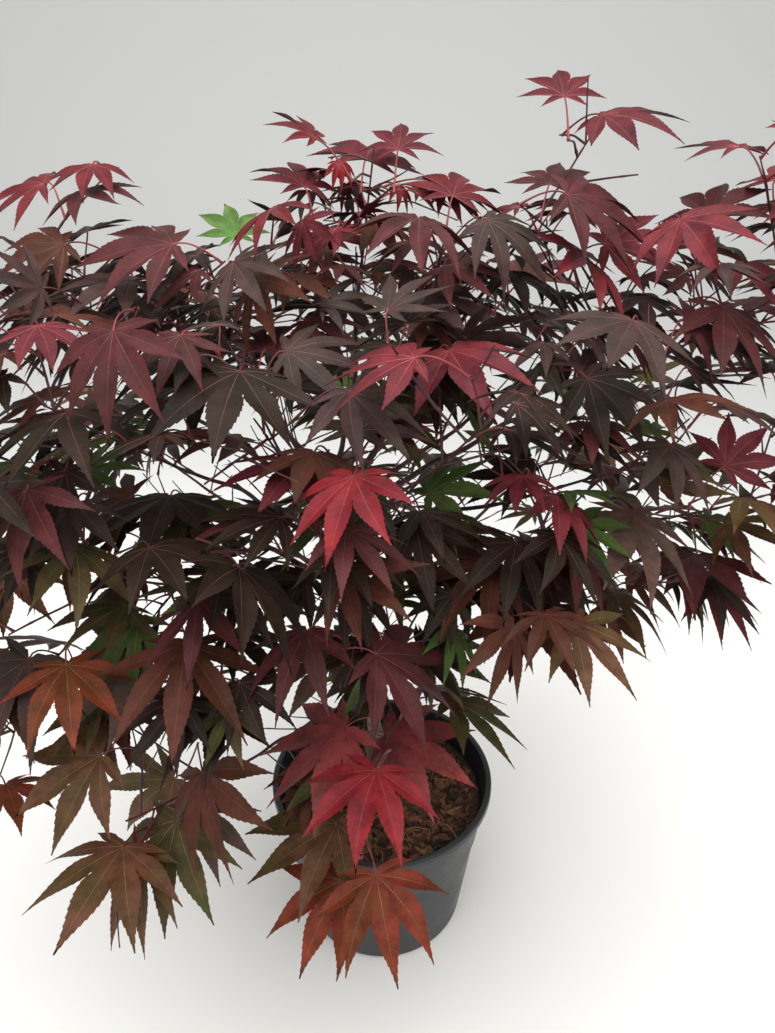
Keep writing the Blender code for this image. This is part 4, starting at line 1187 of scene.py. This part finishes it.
FOLIAGE = ["foliage_" + mass.name for mass in MASSES]
young = grained("twig_bark", (70, 34, 38), 0.5, (900.0, 40.0, 0.0002, 0.35),
                (0.34, (46, 27, 29)), (0.52, (74, 36, 38)), (0.72, (112, 44, 44)))
TWIG_POINTS = 7
TWIG_SWAY = 0.0016
STEM_SLIMMING = (0.6, 0.35)
TWIG_SLIMMING = (0.8, 0.6)
twig_guides = []
for twig in twigs:
    slimming = STEM_SLIMMING if twig.line is stems[twig.mass] else TWIG_SLIMMING
    twig_guides.append((lively(twig.line, TWIG_SWAY, TWIG_POINTS),
                        slimmed(twig.radii, TWIG_POINTS, *slimming)))
twig_piece = rods("twigs", twig_guides, sides=7, ring_spacing=0.0036, relief=0.16, relief_turns=1.2,
                  relief_pitch=120.0, node_spacing=0.034, node_swell=0.45, finish=young.finish)
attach(twig_piece, "root")
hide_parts(*FOLIAGE)

# --------------------------------------------------------------------------------------------- leaves
# Thin palmate leaves of seven toothed lobes that arch and fold a little along their ribs, each on a wiry
# stalk. Old leaves are plum, wine and bronze, shaded ones green, and young ones crimson to scarlet.

FINE_LOBES = ((-110, 0.42, 5), (-72, 0.76, 9), (-35, 0.94, 11), (0, 1.0, 12), (35, 0.94, 11),
              (72, 0.76, 9), (110, 0.42, 5))
SINUSES = (0.09, 0.18, 0.26, 0.30, 0.30, 0.26, 0.18, 0.09)
LOBE_WIDTH = 0.112
BROAD = 1.2
LOBE_PLACES = (0.0, 0.20, 0.30, 0.38, 0.46, 0.54, 0.64, 0.74, 0.82, 0.89, 0.95, 1.0)
LOBE_WIDTHS = (0.28, 0.56, 0.78, 0.92, 1.0, 0.97, 0.80, 0.54, 0.33, 0.17, 0.08, 0.0)
TOOTH = 0.012
RIB_LIFT = 0.00018
UNDER_LIFT = -0.00026
VEIN_NODES = 7
VEIN_WIDTH = 0.0068
VEIN_LIFT = 0.0004
BUDDING_LENGTH = 0.03
YOUNG_HEIGHT = 0.70

Sheet = namedtuple("Sheet", "flat lobe run side lift faces uv")


class LeafPattern:
    """A flat leaf of unit length being drawn: its points, in its own lobes, and its triangles."""

    def __init__(self, lobe_width=LOBE_WIDTH):
        self.points, self.faces, self.taken, self.lobe_width = [], [], set(), lobe_width

    def add(self, lobe, run, side, lift, under=False):
        turn, length = math.radians(FINE_LOBES[lobe][0]), FINE_LOBES[lobe][1]
        along = run * length
        self.points.append((along * math.cos(turn) - side * math.sin(turn),
                            along * math.sin(turn) + side * math.cos(turn),
                            lobe, run, side, lift, side / (self.lobe_width * length)))
        return run, len(self.points) - 1

    def face(self, a, b, c, upward):
        """A triangle turned to face up or down, where its three points have none yet."""
        if frozenset((a, b, c)) in self.taken:
            return
        self.taken.add(frozenset((a, b, c)))
        (ax, ay), (bx, by), (cx, cy) = (self.points[i][:2] for i in (a, b, c))
        turned = (bx - ax) * (cy - ay) - (by - ay) * (cx - ax)
        self.faces.append((a, b, c) if (turned > 0) == upward else (a, c, b))

    def stitch(self, first, second, upward=True):
        """Triangles between two rows that start and end at the same points, each sorted by its run."""
        i = j = 0
        while i < len(first) - 1 or j < len(second) - 1:
            step = j == len(second) - 1 or (i < len(first) - 1 and first[i + 1][0] <= second[j + 1][0])
            a, b = first[i][1], second[j][1]
            i, j = (i + 1, j) if step else (i, j + 1)
            new = first[i][1] if step else second[j][1]
            if len({a, b, new}) == 3:
                self.face(a, b, new, upward)

    def sheet(self):
        table = np.array(self.points)
        faces = np.array(self.faces)
        return Sheet(table[:, :2], table[:, 2].astype(int), table[:, 3], table[:, 4], table[:, 5], faces,
                     np.column_stack([table[:, 3], table[:, 6] * 0.5 + 0.5]))


def leaf_pattern(lobe_width):
    """The blade: a toothed margin, a row half way in and a rib on top, and a plainer under side."""
    drawn = LeafPattern(lobe_width)
    heart = drawn.add(3, 0.0, 0.0, RIB_LIFT)
    under_heart = drawn.add(3, 0.0, 0.0, UNDER_LIFT)
    notches = []
    for index, radius in enumerate(SINUSES):
        lobe = min(index, len(FINE_LOBES) - 1)
        turn, length = FINE_LOBES[lobe][:2]
        other = FINE_LOBES[index - 1][0] if 0 < index < len(FINE_LOBES) else turn
        middle = (turn + other) / 2 if other != turn else turn + (36 if index else -36)
        off = math.radians(middle - turn)
        notches.append((drawn.add(lobe, radius * math.cos(off) / length, radius * math.sin(off), 0.0)[1],
                        radius))
    for lobe, (turn, length, teeth) in enumerate(FINE_LOBES):
        tip = drawn.add(lobe, 1.0, 0.0, 0.0)
        count = teeth // 2 + 1
        rib = [heart] + [drawn.add(lobe, float(run), 0.0, RIB_LIFT)
                         for run in np.linspace(0, 0.94, VEIN_NODES)[1:]] + [tip]
        under = [under_heart] + [drawn.add(lobe, 0.15 + 0.7 * i / (count // 2), 0.0, UNDER_LIFT)
                                 for i in range(count // 2 + 1)] + [tip]
        for hand in (-1, 1):
            notch, radius = notches[lobe + (hand > 0)]
            x, y = drawn.points[notch][:2]
            way = math.radians(turn)
            start = (x * math.cos(way) + y * math.sin(way)) / length
            wide = abs(-x * math.sin(way) + y * math.cos(way))

            def half(run):
                whole = float(np.interp(run, LOBE_PLACES, LOBE_WIDTHS)) * lobe_width * length
                fade = min(1.0, max(0.0, (run - start) / 0.12))
                return wide * run / start if run < start else wide * (1 - fade) + whole * fade

            margin = [heart, (start, notch)]
            for k in range(teeth):
                out, low = ((k + q) / teeth for q in (0.80, 1.0))
                run = start + (1 - start) * out
                rise = TOOTH * length * (1.05 - 0.7 * out)
                margin.append(drawn.add(lobe, run + 0.012, hand * (half(run) + rise), 0.0))
                if k < teeth - 1:
                    run = start + (1 - start) * low
                    margin.append(drawn.add(lobe, run, hand * half(run), 0.0))
            margin.append(tip)
            middle = [heart] + [drawn.add(lobe, t, hand * half(t) * 0.5, RIB_LIFT * 0.5)
                                for t in np.linspace(0.2, 0.86, count)] + [tip]
            drawn.stitch(rib, middle)
            drawn.stitch(middle, margin)
            drawn.stitch(under, [under_heart] + margin[1:], upward=False)
    return drawn.sheet()


def vein_pattern():
    """The pale main veins: a low three-sided rod along each rib, which thins to the tip."""
    drawn = LeafPattern()
    for lobe, (_, length, _) in enumerate(FINE_LOBES):
        rings = []
        for run in np.linspace(0, 0.94, VEIN_NODES):
            wide = VEIN_WIDTH * (1 - 0.78 * run) * (0.55 + 0.45 * length)
            rings.append([drawn.add(lobe, run, side, lift * (1 - 0.5 * run))[1]
                          for side, lift in ((-wide, -0.0001), (0.0, VEIN_LIFT), (wide, -0.0001))])
        for near, far in zip(rings, rings[1:]):
            for k in range(3):
                a, b = near[k], near[(k + 1) % 3]
                c, d = far[k], far[(k + 1) % 3]
                drawn.faces += [(a, c, b), (b, c, d)]
        drawn.faces += [tuple(rings[0]), tuple(reversed(rings[-1]))]
    return drawn.sheet()


def bend_of(leaf, chance, young, shown):
    """How one leaf's lobes sag, swing and twist, and how far the whole leaf hangs and folds. The higher a
    leaf grows, the flatter it is held."""
    low = min(1.0, max(0.0, (0.72 - leaf.heart.z) / 0.25))
    budding = leaf.length < BUDDING_LENGTH
    return (np.array([chance.gauss(0.04, 0.06) for _ in FINE_LOBES]),
            np.array([chance.gauss(0.0, 0.06) for _ in FINE_LOBES]),
            np.array([chance.gauss(0.0, 0.35) for _ in FINE_LOBES]),
            0.5 if budding else 0.10 if shown else chance.uniform(0.0, 0.2) + 0.1 * low,
            0.9 if budding else chance.uniform(0.25, 0.7) if young else chance.uniform(0.15, 0.5))


def draped(leaf, sheet, bend):
    """The points of a flat sheet on the curves of one leaf."""
    sags, swings, twists, hang, fold = bend
    turns = np.radians([lobe[0] for lobe in FINE_LOBES])[sheet.lobe]
    length = np.array([lobe[1] for lobe in FINE_LOBES])[sheet.lobe]
    loose = np.clip((sheet.run - 0.3) / 0.7, 0, 1) ** 2 * length
    out = np.hypot(sheet.flat[:, 0], sheet.flat[:, 1])
    across = leaf.face.cross(leaf.ahead)
    ahead, across, face, up = (np.array(way) for way in (leaf.ahead, across, leaf.face, UP))
    way = (sheet.flat[:, :1] * ahead + sheet.flat[:, 1:] * across) / np.maximum(out, 1e-6)[:, None]
    down = way * way[:, 2:] - up
    level = (down**2).sum(axis=1)
    pull = (hang + sags[sheet.lobe] * np.clip((sheet.run - 0.3) / 0.7, 0, 1)) * out**1.8
    flat = sheet.flat * (1 - (0.30 * hang**2 * level + 0.12 * leaf.droop**2) * out)[:, None]
    flat = flat + np.column_stack([-np.sin(turns), np.cos(turns)]) * (swings[sheet.lobe] * loose)[:, None]
    rise = (-0.55 * leaf.droop * out**1.6 + np.abs(sheet.side) * fold
            + twists[sheet.lobe] * sheet.side * np.sqrt(loose))
    points = flat[:, :1] * ahead + flat[:, 1:] * across + rise[:, None] * face + pull[:, None] * down
    return np.array(leaf.heart) + points * leaf.length + sheet.lift[:, None] * face


def mesh_of(name, points, faces, uv=None):
    """A mesh from arrays of points and triangles."""
    mesh = bpy.data.meshes.new(name)
    mesh.vertices.add(len(points))
    mesh.vertices.foreach_set("co", np.ascontiguousarray(points, dtype=np.float32).ravel())
    mesh.loops.add(faces.size)
    mesh.loops.foreach_set("vertex_index", np.ascontiguousarray(faces, dtype=np.int32).ravel())
    mesh.polygons.add(len(faces))
    mesh.polygons.foreach_set("loop_start", np.arange(0, faces.size, 3, dtype=np.int32))
    mesh.update(calc_edges=True)
    if uv is not None:
        layer = mesh.uv_layers.new(name="lobes")
        layer.data.foreach_set("uv", np.ascontiguousarray(uv[faces.ravel()], dtype=np.float32).ravel())
    mesh.shade_smooth()
    return mesh


def joined(name, sheets, chosen):
    """One mesh from the chosen leaves, each the points of its own sheet on its own curves."""
    sizes = np.cumsum([0] + [len(sheets[i].flat) for i in chosen])
    return mesh_of(name, np.concatenate([draped(leaves[i], sheets[i], bends[i]) for i in chosen]),
                   np.concatenate([sheets[i].faces + first for i, first in zip(chosen, sizes)]),
                   np.concatenate([sheets[i].uv for i in chosen]))


def leaf_skin_group():
    """Side veins that run out and forward from each rib, the way to the margin, and a soft pucker."""
    tree, _ = new_tree("Shader", "leaf skin", {}, {"Veins": "Float", "Margin": "Float", "Cloud": "Float",
                                                   "Patch": "Float", "Normal": "Vector"})
    place = put(tree, "ShaderNodeSeparateXYZ", wire(tree, "ShaderNodeUVMap", uv_map="lobes")).outputs
    aside = maths(tree, "ABSOLUTE", maths(tree, "MULTIPLY_ADD", place["Y"], 2.0, -1.0))
    wave = maths(tree, "FRACT", maths(tree, "SUBTRACT", maths(tree, "MULTIPLY", place["X"], 12.0),
                                      maths(tree, "MULTIPLY", aside, 1.5)))
    near = maths(tree, "ABSOLUTE", maths(tree, "MULTIPLY_ADD", wave, 2.0, -1.0))
    veins = between(tree, near, 0.0, 1.0, 0.78, 1.0)
    where = put(tree, "ShaderNodeTexCoord").outputs["Object"]
    cloud = wire(tree, "ShaderNodeTexNoise", where, 95.0, 3.0)
    patch = wire(tree, "ShaderNodeTexNoise", where, 26.0, 1.0)
    pucker = wire(tree, "ShaderNodeTexNoise", where, 900.0, 2.0)
    height = maths(tree, "SUBTRACT", maths(tree, "MULTIPLY", pucker, 0.35), veins)
    bump = put(tree, "ShaderNodeBump")
    bump.inputs["Strength"].default_value = 0.22
    bump.inputs["Distance"].default_value = 0.0003
    tree.links.new(height, bump.inputs["Height"])
    put(tree, "NodeGroupOutput", veins, between(tree, aside, 0.0, 1.0, 0.45, 1.05), cloud, patch,
        bump.outputs["Normal"])
    return tree


LEAF_SKIN = leaf_skin_group()

Tint = namedtuple("Tint", "name colour margin gloss vein")
TINTS = (
    Tint("plum", (42, 29, 23), (1.0, 0.9, 0.9), 0.52, "pink"),
    Tint("dusk", (64, 46, 44), (1.0, 0.92, 0.92), 0.5, "pink"),
    # The next tint is the dusk tint painted about half again lighter: painted light for low leaves that lie
    # in the crown's shade.
    Tint("heather", (92, 68, 62), (1.0, 0.92, 0.92), 0.5, "pink"),
    Tint("wine", (78, 36, 38), (1.0, 0.88, 0.9), 0.52, "pink"),
    Tint("maroon", (80, 43, 33), (1.0, 0.88, 0.9), 0.52, "pink"),
    Tint("crimson", (98, 31, 37), (1.0, 0.85, 0.9), 0.5, "red"),
    Tint("ruby", (92, 34, 40), (1.0, 0.84, 0.88), 0.52, "red"),
    Tint("scarlet", (128, 36, 42), (1.0, 0.9, 0.9), 0.48, "red"),
    Tint("rose", (106, 39, 45), (1.0, 0.88, 0.9), 0.48, "red"),
    # The next tint is ruby painted much lighter and paler: painted light for two low leaves in a scarlet
    # leaf's shade.
    Tint("mauve", (146, 66, 66), (1.0, 0.88, 0.9), 0.48, "red"),
    Tint("ember", (116, 52, 36), (1.0, 0.8, 0.78), 0.52, "gold"),
    Tint("rust", (92, 58, 42), (1.0, 0.8, 0.76), 0.52, "gold"),
    Tint("bronze", (96, 66, 47), (1.0, 0.8, 0.76), 0.52, "gold"),
    Tint("olive", (78, 66, 42), (1.0, 0.82, 0.78), 0.54, "gold"),
    Tint("green", (66, 80, 40), (0.95, 0.95, 0.9), 0.54, "gold"),
    Tint("fresh", (92, 116, 62), (0.95, 0.95, 0.9), 0.5, "gold"),
)
PATCHES = {"pink": (0.74, 0.97, 0.82), "red": (0.72, 0.85, 0.9), "gold": (0.7, 1.0, 0.72)}
VEINS = {"pink": (112, 62, 58), "red": (160, 76, 72), "gold": (134, 106, 64)}


def leaf_finish(tint):
    made, tree, shader = new_finish("leaf_" + tint.name, tint.colour, tint.gloss)
    skin = put(tree, "ShaderNodeGroup", node_tree=LEAF_SKIN).outputs
    base = Vector(paint(*tint.colour))
    mixed = maths(tree, "MULTIPLY_ADD", skin["Veins"], 0.16, skin["Cloud"])
    shades = ramp(tree, mixed, (0.34, base * 0.74), (0.52, base), (0.82, base * 1.32))
    margin = ramp(tree, skin["Margin"], (0.0, (1.0, 1.0, 1.0)), (1.0, tint.margin))
    patches = ramp(tree, skin["Patch"], (0.44, (1.0, 1.0, 1.0)), (0.62, PATCHES[tint.vein]))
    colour = multiplied(tree, multiplied(tree, shades, margin, 1.0), patches, 1.0)
    tree.links.new(colour, shader.inputs["Base Color"])
    tree.links.new(skin["Normal"], shader.inputs["Normal"])
    shader.inputs["Specular IOR Level"].default_value = 0.12
    return made


# Where single tinted leaves show, in millimetres, and the mix of tints in each part of the crown.
SPOTS = (
    (-225, -140, 690, "crimson"), (-262, -160, 443, "rust"), (300, -20, 440, "ruby"),
    (311, -50, 433, "crimson"), (47, -150, 496, "green"), (-163, -180, 518, "green"),
    (-262, -120, 491, "maroon"), (-60, -170, 615, "ruby"), (104, -100, 458, "rust"),
    (158, -40, 707, "crimson"), (253, -30, 711, "ruby"), (178, 0, 731, "maroon"), (217, -50, 656, "maroon"),
    (68, 0, 669, "crimson"), (-60, -20, 600, "dusk"), (212, 0, 604, "rust"), (149, -100, 576, "maroon"),
    (174, -50, 390, "rust"), (104, -182, 516, "maroon"), (-18, -203, 591, "wine"),
    (-166, -215, 334, "rust"), (-125, -205, 467, "plum"), (-95, -204, 459, "olive"),
)
MIXES = {
    "top": (("crimson", 3), ("ruby", 4), ("wine", 5), ("dusk", 1), ("rose", 1)),
    "crest": (("plum", 6), ("dusk", 6), ("wine", 3), ("maroon", 3)),
    "inside": (("green", 3), ("plum", 5), ("olive", 3), ("maroon", 2)),
    # The lighter copy of dusk in the right, low and waist mixes is painted light on low leaves in the
    # crown's shade.
    "right": (("maroon", 5), ("wine", 3), ("plum", 2), ("bronze", 3), ("olive", 2), ("heather", 2)),
    "low": (("bronze", 4), ("plum", 2), ("olive", 3), ("maroon", 4), ("heather", 3)),
    "waist": (("plum", 5), ("wine", 2), ("maroon", 5), ("dusk", 2), ("olive", 3), ("bronze", 2),
              ("heather", 2)),
}

TOP_HEIGHT = 0.715
CREST_HEIGHT = 0.60
LOW_HEIGHT = 0.46
RIGHT_FROM = 0.14
INSIDE_RADIUS = 0.13
INSIDE_LENGTH = 0.052


def tint_of(leaf, chance):
    """A leaf's tint by its place in the crown."""
    place = leaf.heart
    inner = math.hypot(place.x, place.y) < INSIDE_RADIUS and 0.28 < place.z < 0.62
    if place.z > TOP_HEIGHT:
        part = "top"
    elif inner or place.z < CREST_HEIGHT and leaf.length < INSIDE_LENGTH:
        part = "inside"
    elif place.z > CREST_HEIGHT:
        part = "crest"
    elif place.x > RIGHT_FROM:
        part = "right"
    elif place.z < LOW_HEIGHT:
        part = "low"
    else:
        part = "waist"
    names, weights = zip(*MIXES[part])
    return chance.choices(names, weights)[0]


chance = random.Random(21)
features = set(tints)
for *spot, tint in SPOTS:
    spot = Vector(size / 1000 for size in spot)
    free = (i for i in range(len(leaves)) if i not in tints)
    tints[min(free, key=lambda i: (leaves[i].heart - spot).length)] = tint
for index, leaf in enumerate(leaves):
    tints.setdefault(index, tint_of(leaf, chance))

slim, broad, veins = leaf_pattern(LOBE_WIDTH), leaf_pattern(LOBE_WIDTH * BROAD), vein_pattern()
blades = [broad if i in features else slim for i in range(len(leaves))]
bends = [bend_of(leaf, chance, leaf.heart.z > YOUNG_HEIGHT, i in features) for i, leaf in enumerate(leaves)]
MOST_FACES = 190000
dressed = []
for tint in TINTS:
    chosen = [i for i in range(len(leaves)) if tints[i] == tint.name]
    if not chosen:
        continue
    finish = leaf_finish(tint)
    most = MOST_FACES // len(slim.faces)
    for part in range(0, len(chosen), most):
        name = f"leaves_{tint.name}" + (f"_{part // most + 1}" if part else "")
        mesh = joined(name, blades, chosen[part:part + most])
        mesh.set_sharp_from_angle(angle=math.radians(70))
        dressed.append(own_object(name, mesh, finish))
for vein, colour in VEINS.items():
    finish, tree, shader = new_finish("veins_" + vein, colour, 0.5)
    broad_cloud = put(tree, "ShaderNodeGroup", 600.0, 50.0, 0.0001, 0.2, node_tree=GRAIN).outputs["Broad"]
    base = Vector(paint(*colour))
    shades = ramp(tree, broad_cloud, (0.35, base * 0.75), (0.65, base * 1.2))
    tree.links.new(shades, shader.inputs["Base Color"])
    kinds = {tint.name for tint in TINTS if tint.vein == vein}
    chosen = [i for i in range(len(leaves)) if tints[i] in kinds]
    mesh = joined("veins_" + vein, [veins] * len(leaves), chosen)
    dressed.append(own_object("veins_" + vein, mesh, finish))


STALK_RADII = (0.00115, 0.00075, 0.00062, 0.0006, 0.0006, 0.00075)


def stalk_guide(leaf):
    """A leaf's stalk: swollen where it leaves the twig, arched, and let into the blade's base."""
    span = leaf.heart - leaf.root
    bow = UP * span.length * 0.14
    let_in = leaf.heart - leaf.ahead * span.length * 0.25 + bow
    last = len(STALK_RADII) - 1
    line = [bezier(leaf.root, leaf.root + span * 0.3 + bow, let_in, leaf.heart, i / last)
            for i in range(last + 1)]
    return line, STALK_RADII


for name, colours, kinds in (
    ("stalks_red", ((92, 22, 31), (126, 34, 40), (150, 58, 54)),
     ("crimson", "scarlet", "rose", "mauve", "ruby", "wine", "ember")),
    ("stalks_dark", ((58, 26, 32), (92, 32, 38), (128, 48, 48)),
     ("plum", "dusk", "heather", "maroon", "rust", "bronze", "olive", "green", "fresh")),
):
    wiry = grained(name, colours[1], 0.42, (800.0, 45.0, 0.0001, 0.25), *zip((0.34, 0.52, 0.7), colours))
    guides = [stalk_guide(leaf) for i, leaf in enumerate(leaves) if tints[i] in kinds]
    dressed.append(rods(name, guides, sides=6, ring_spacing=0.0042, finish=wiry.finish))
for piece in dressed:
    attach(piece, "root")
    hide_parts(*FOLIAGE)
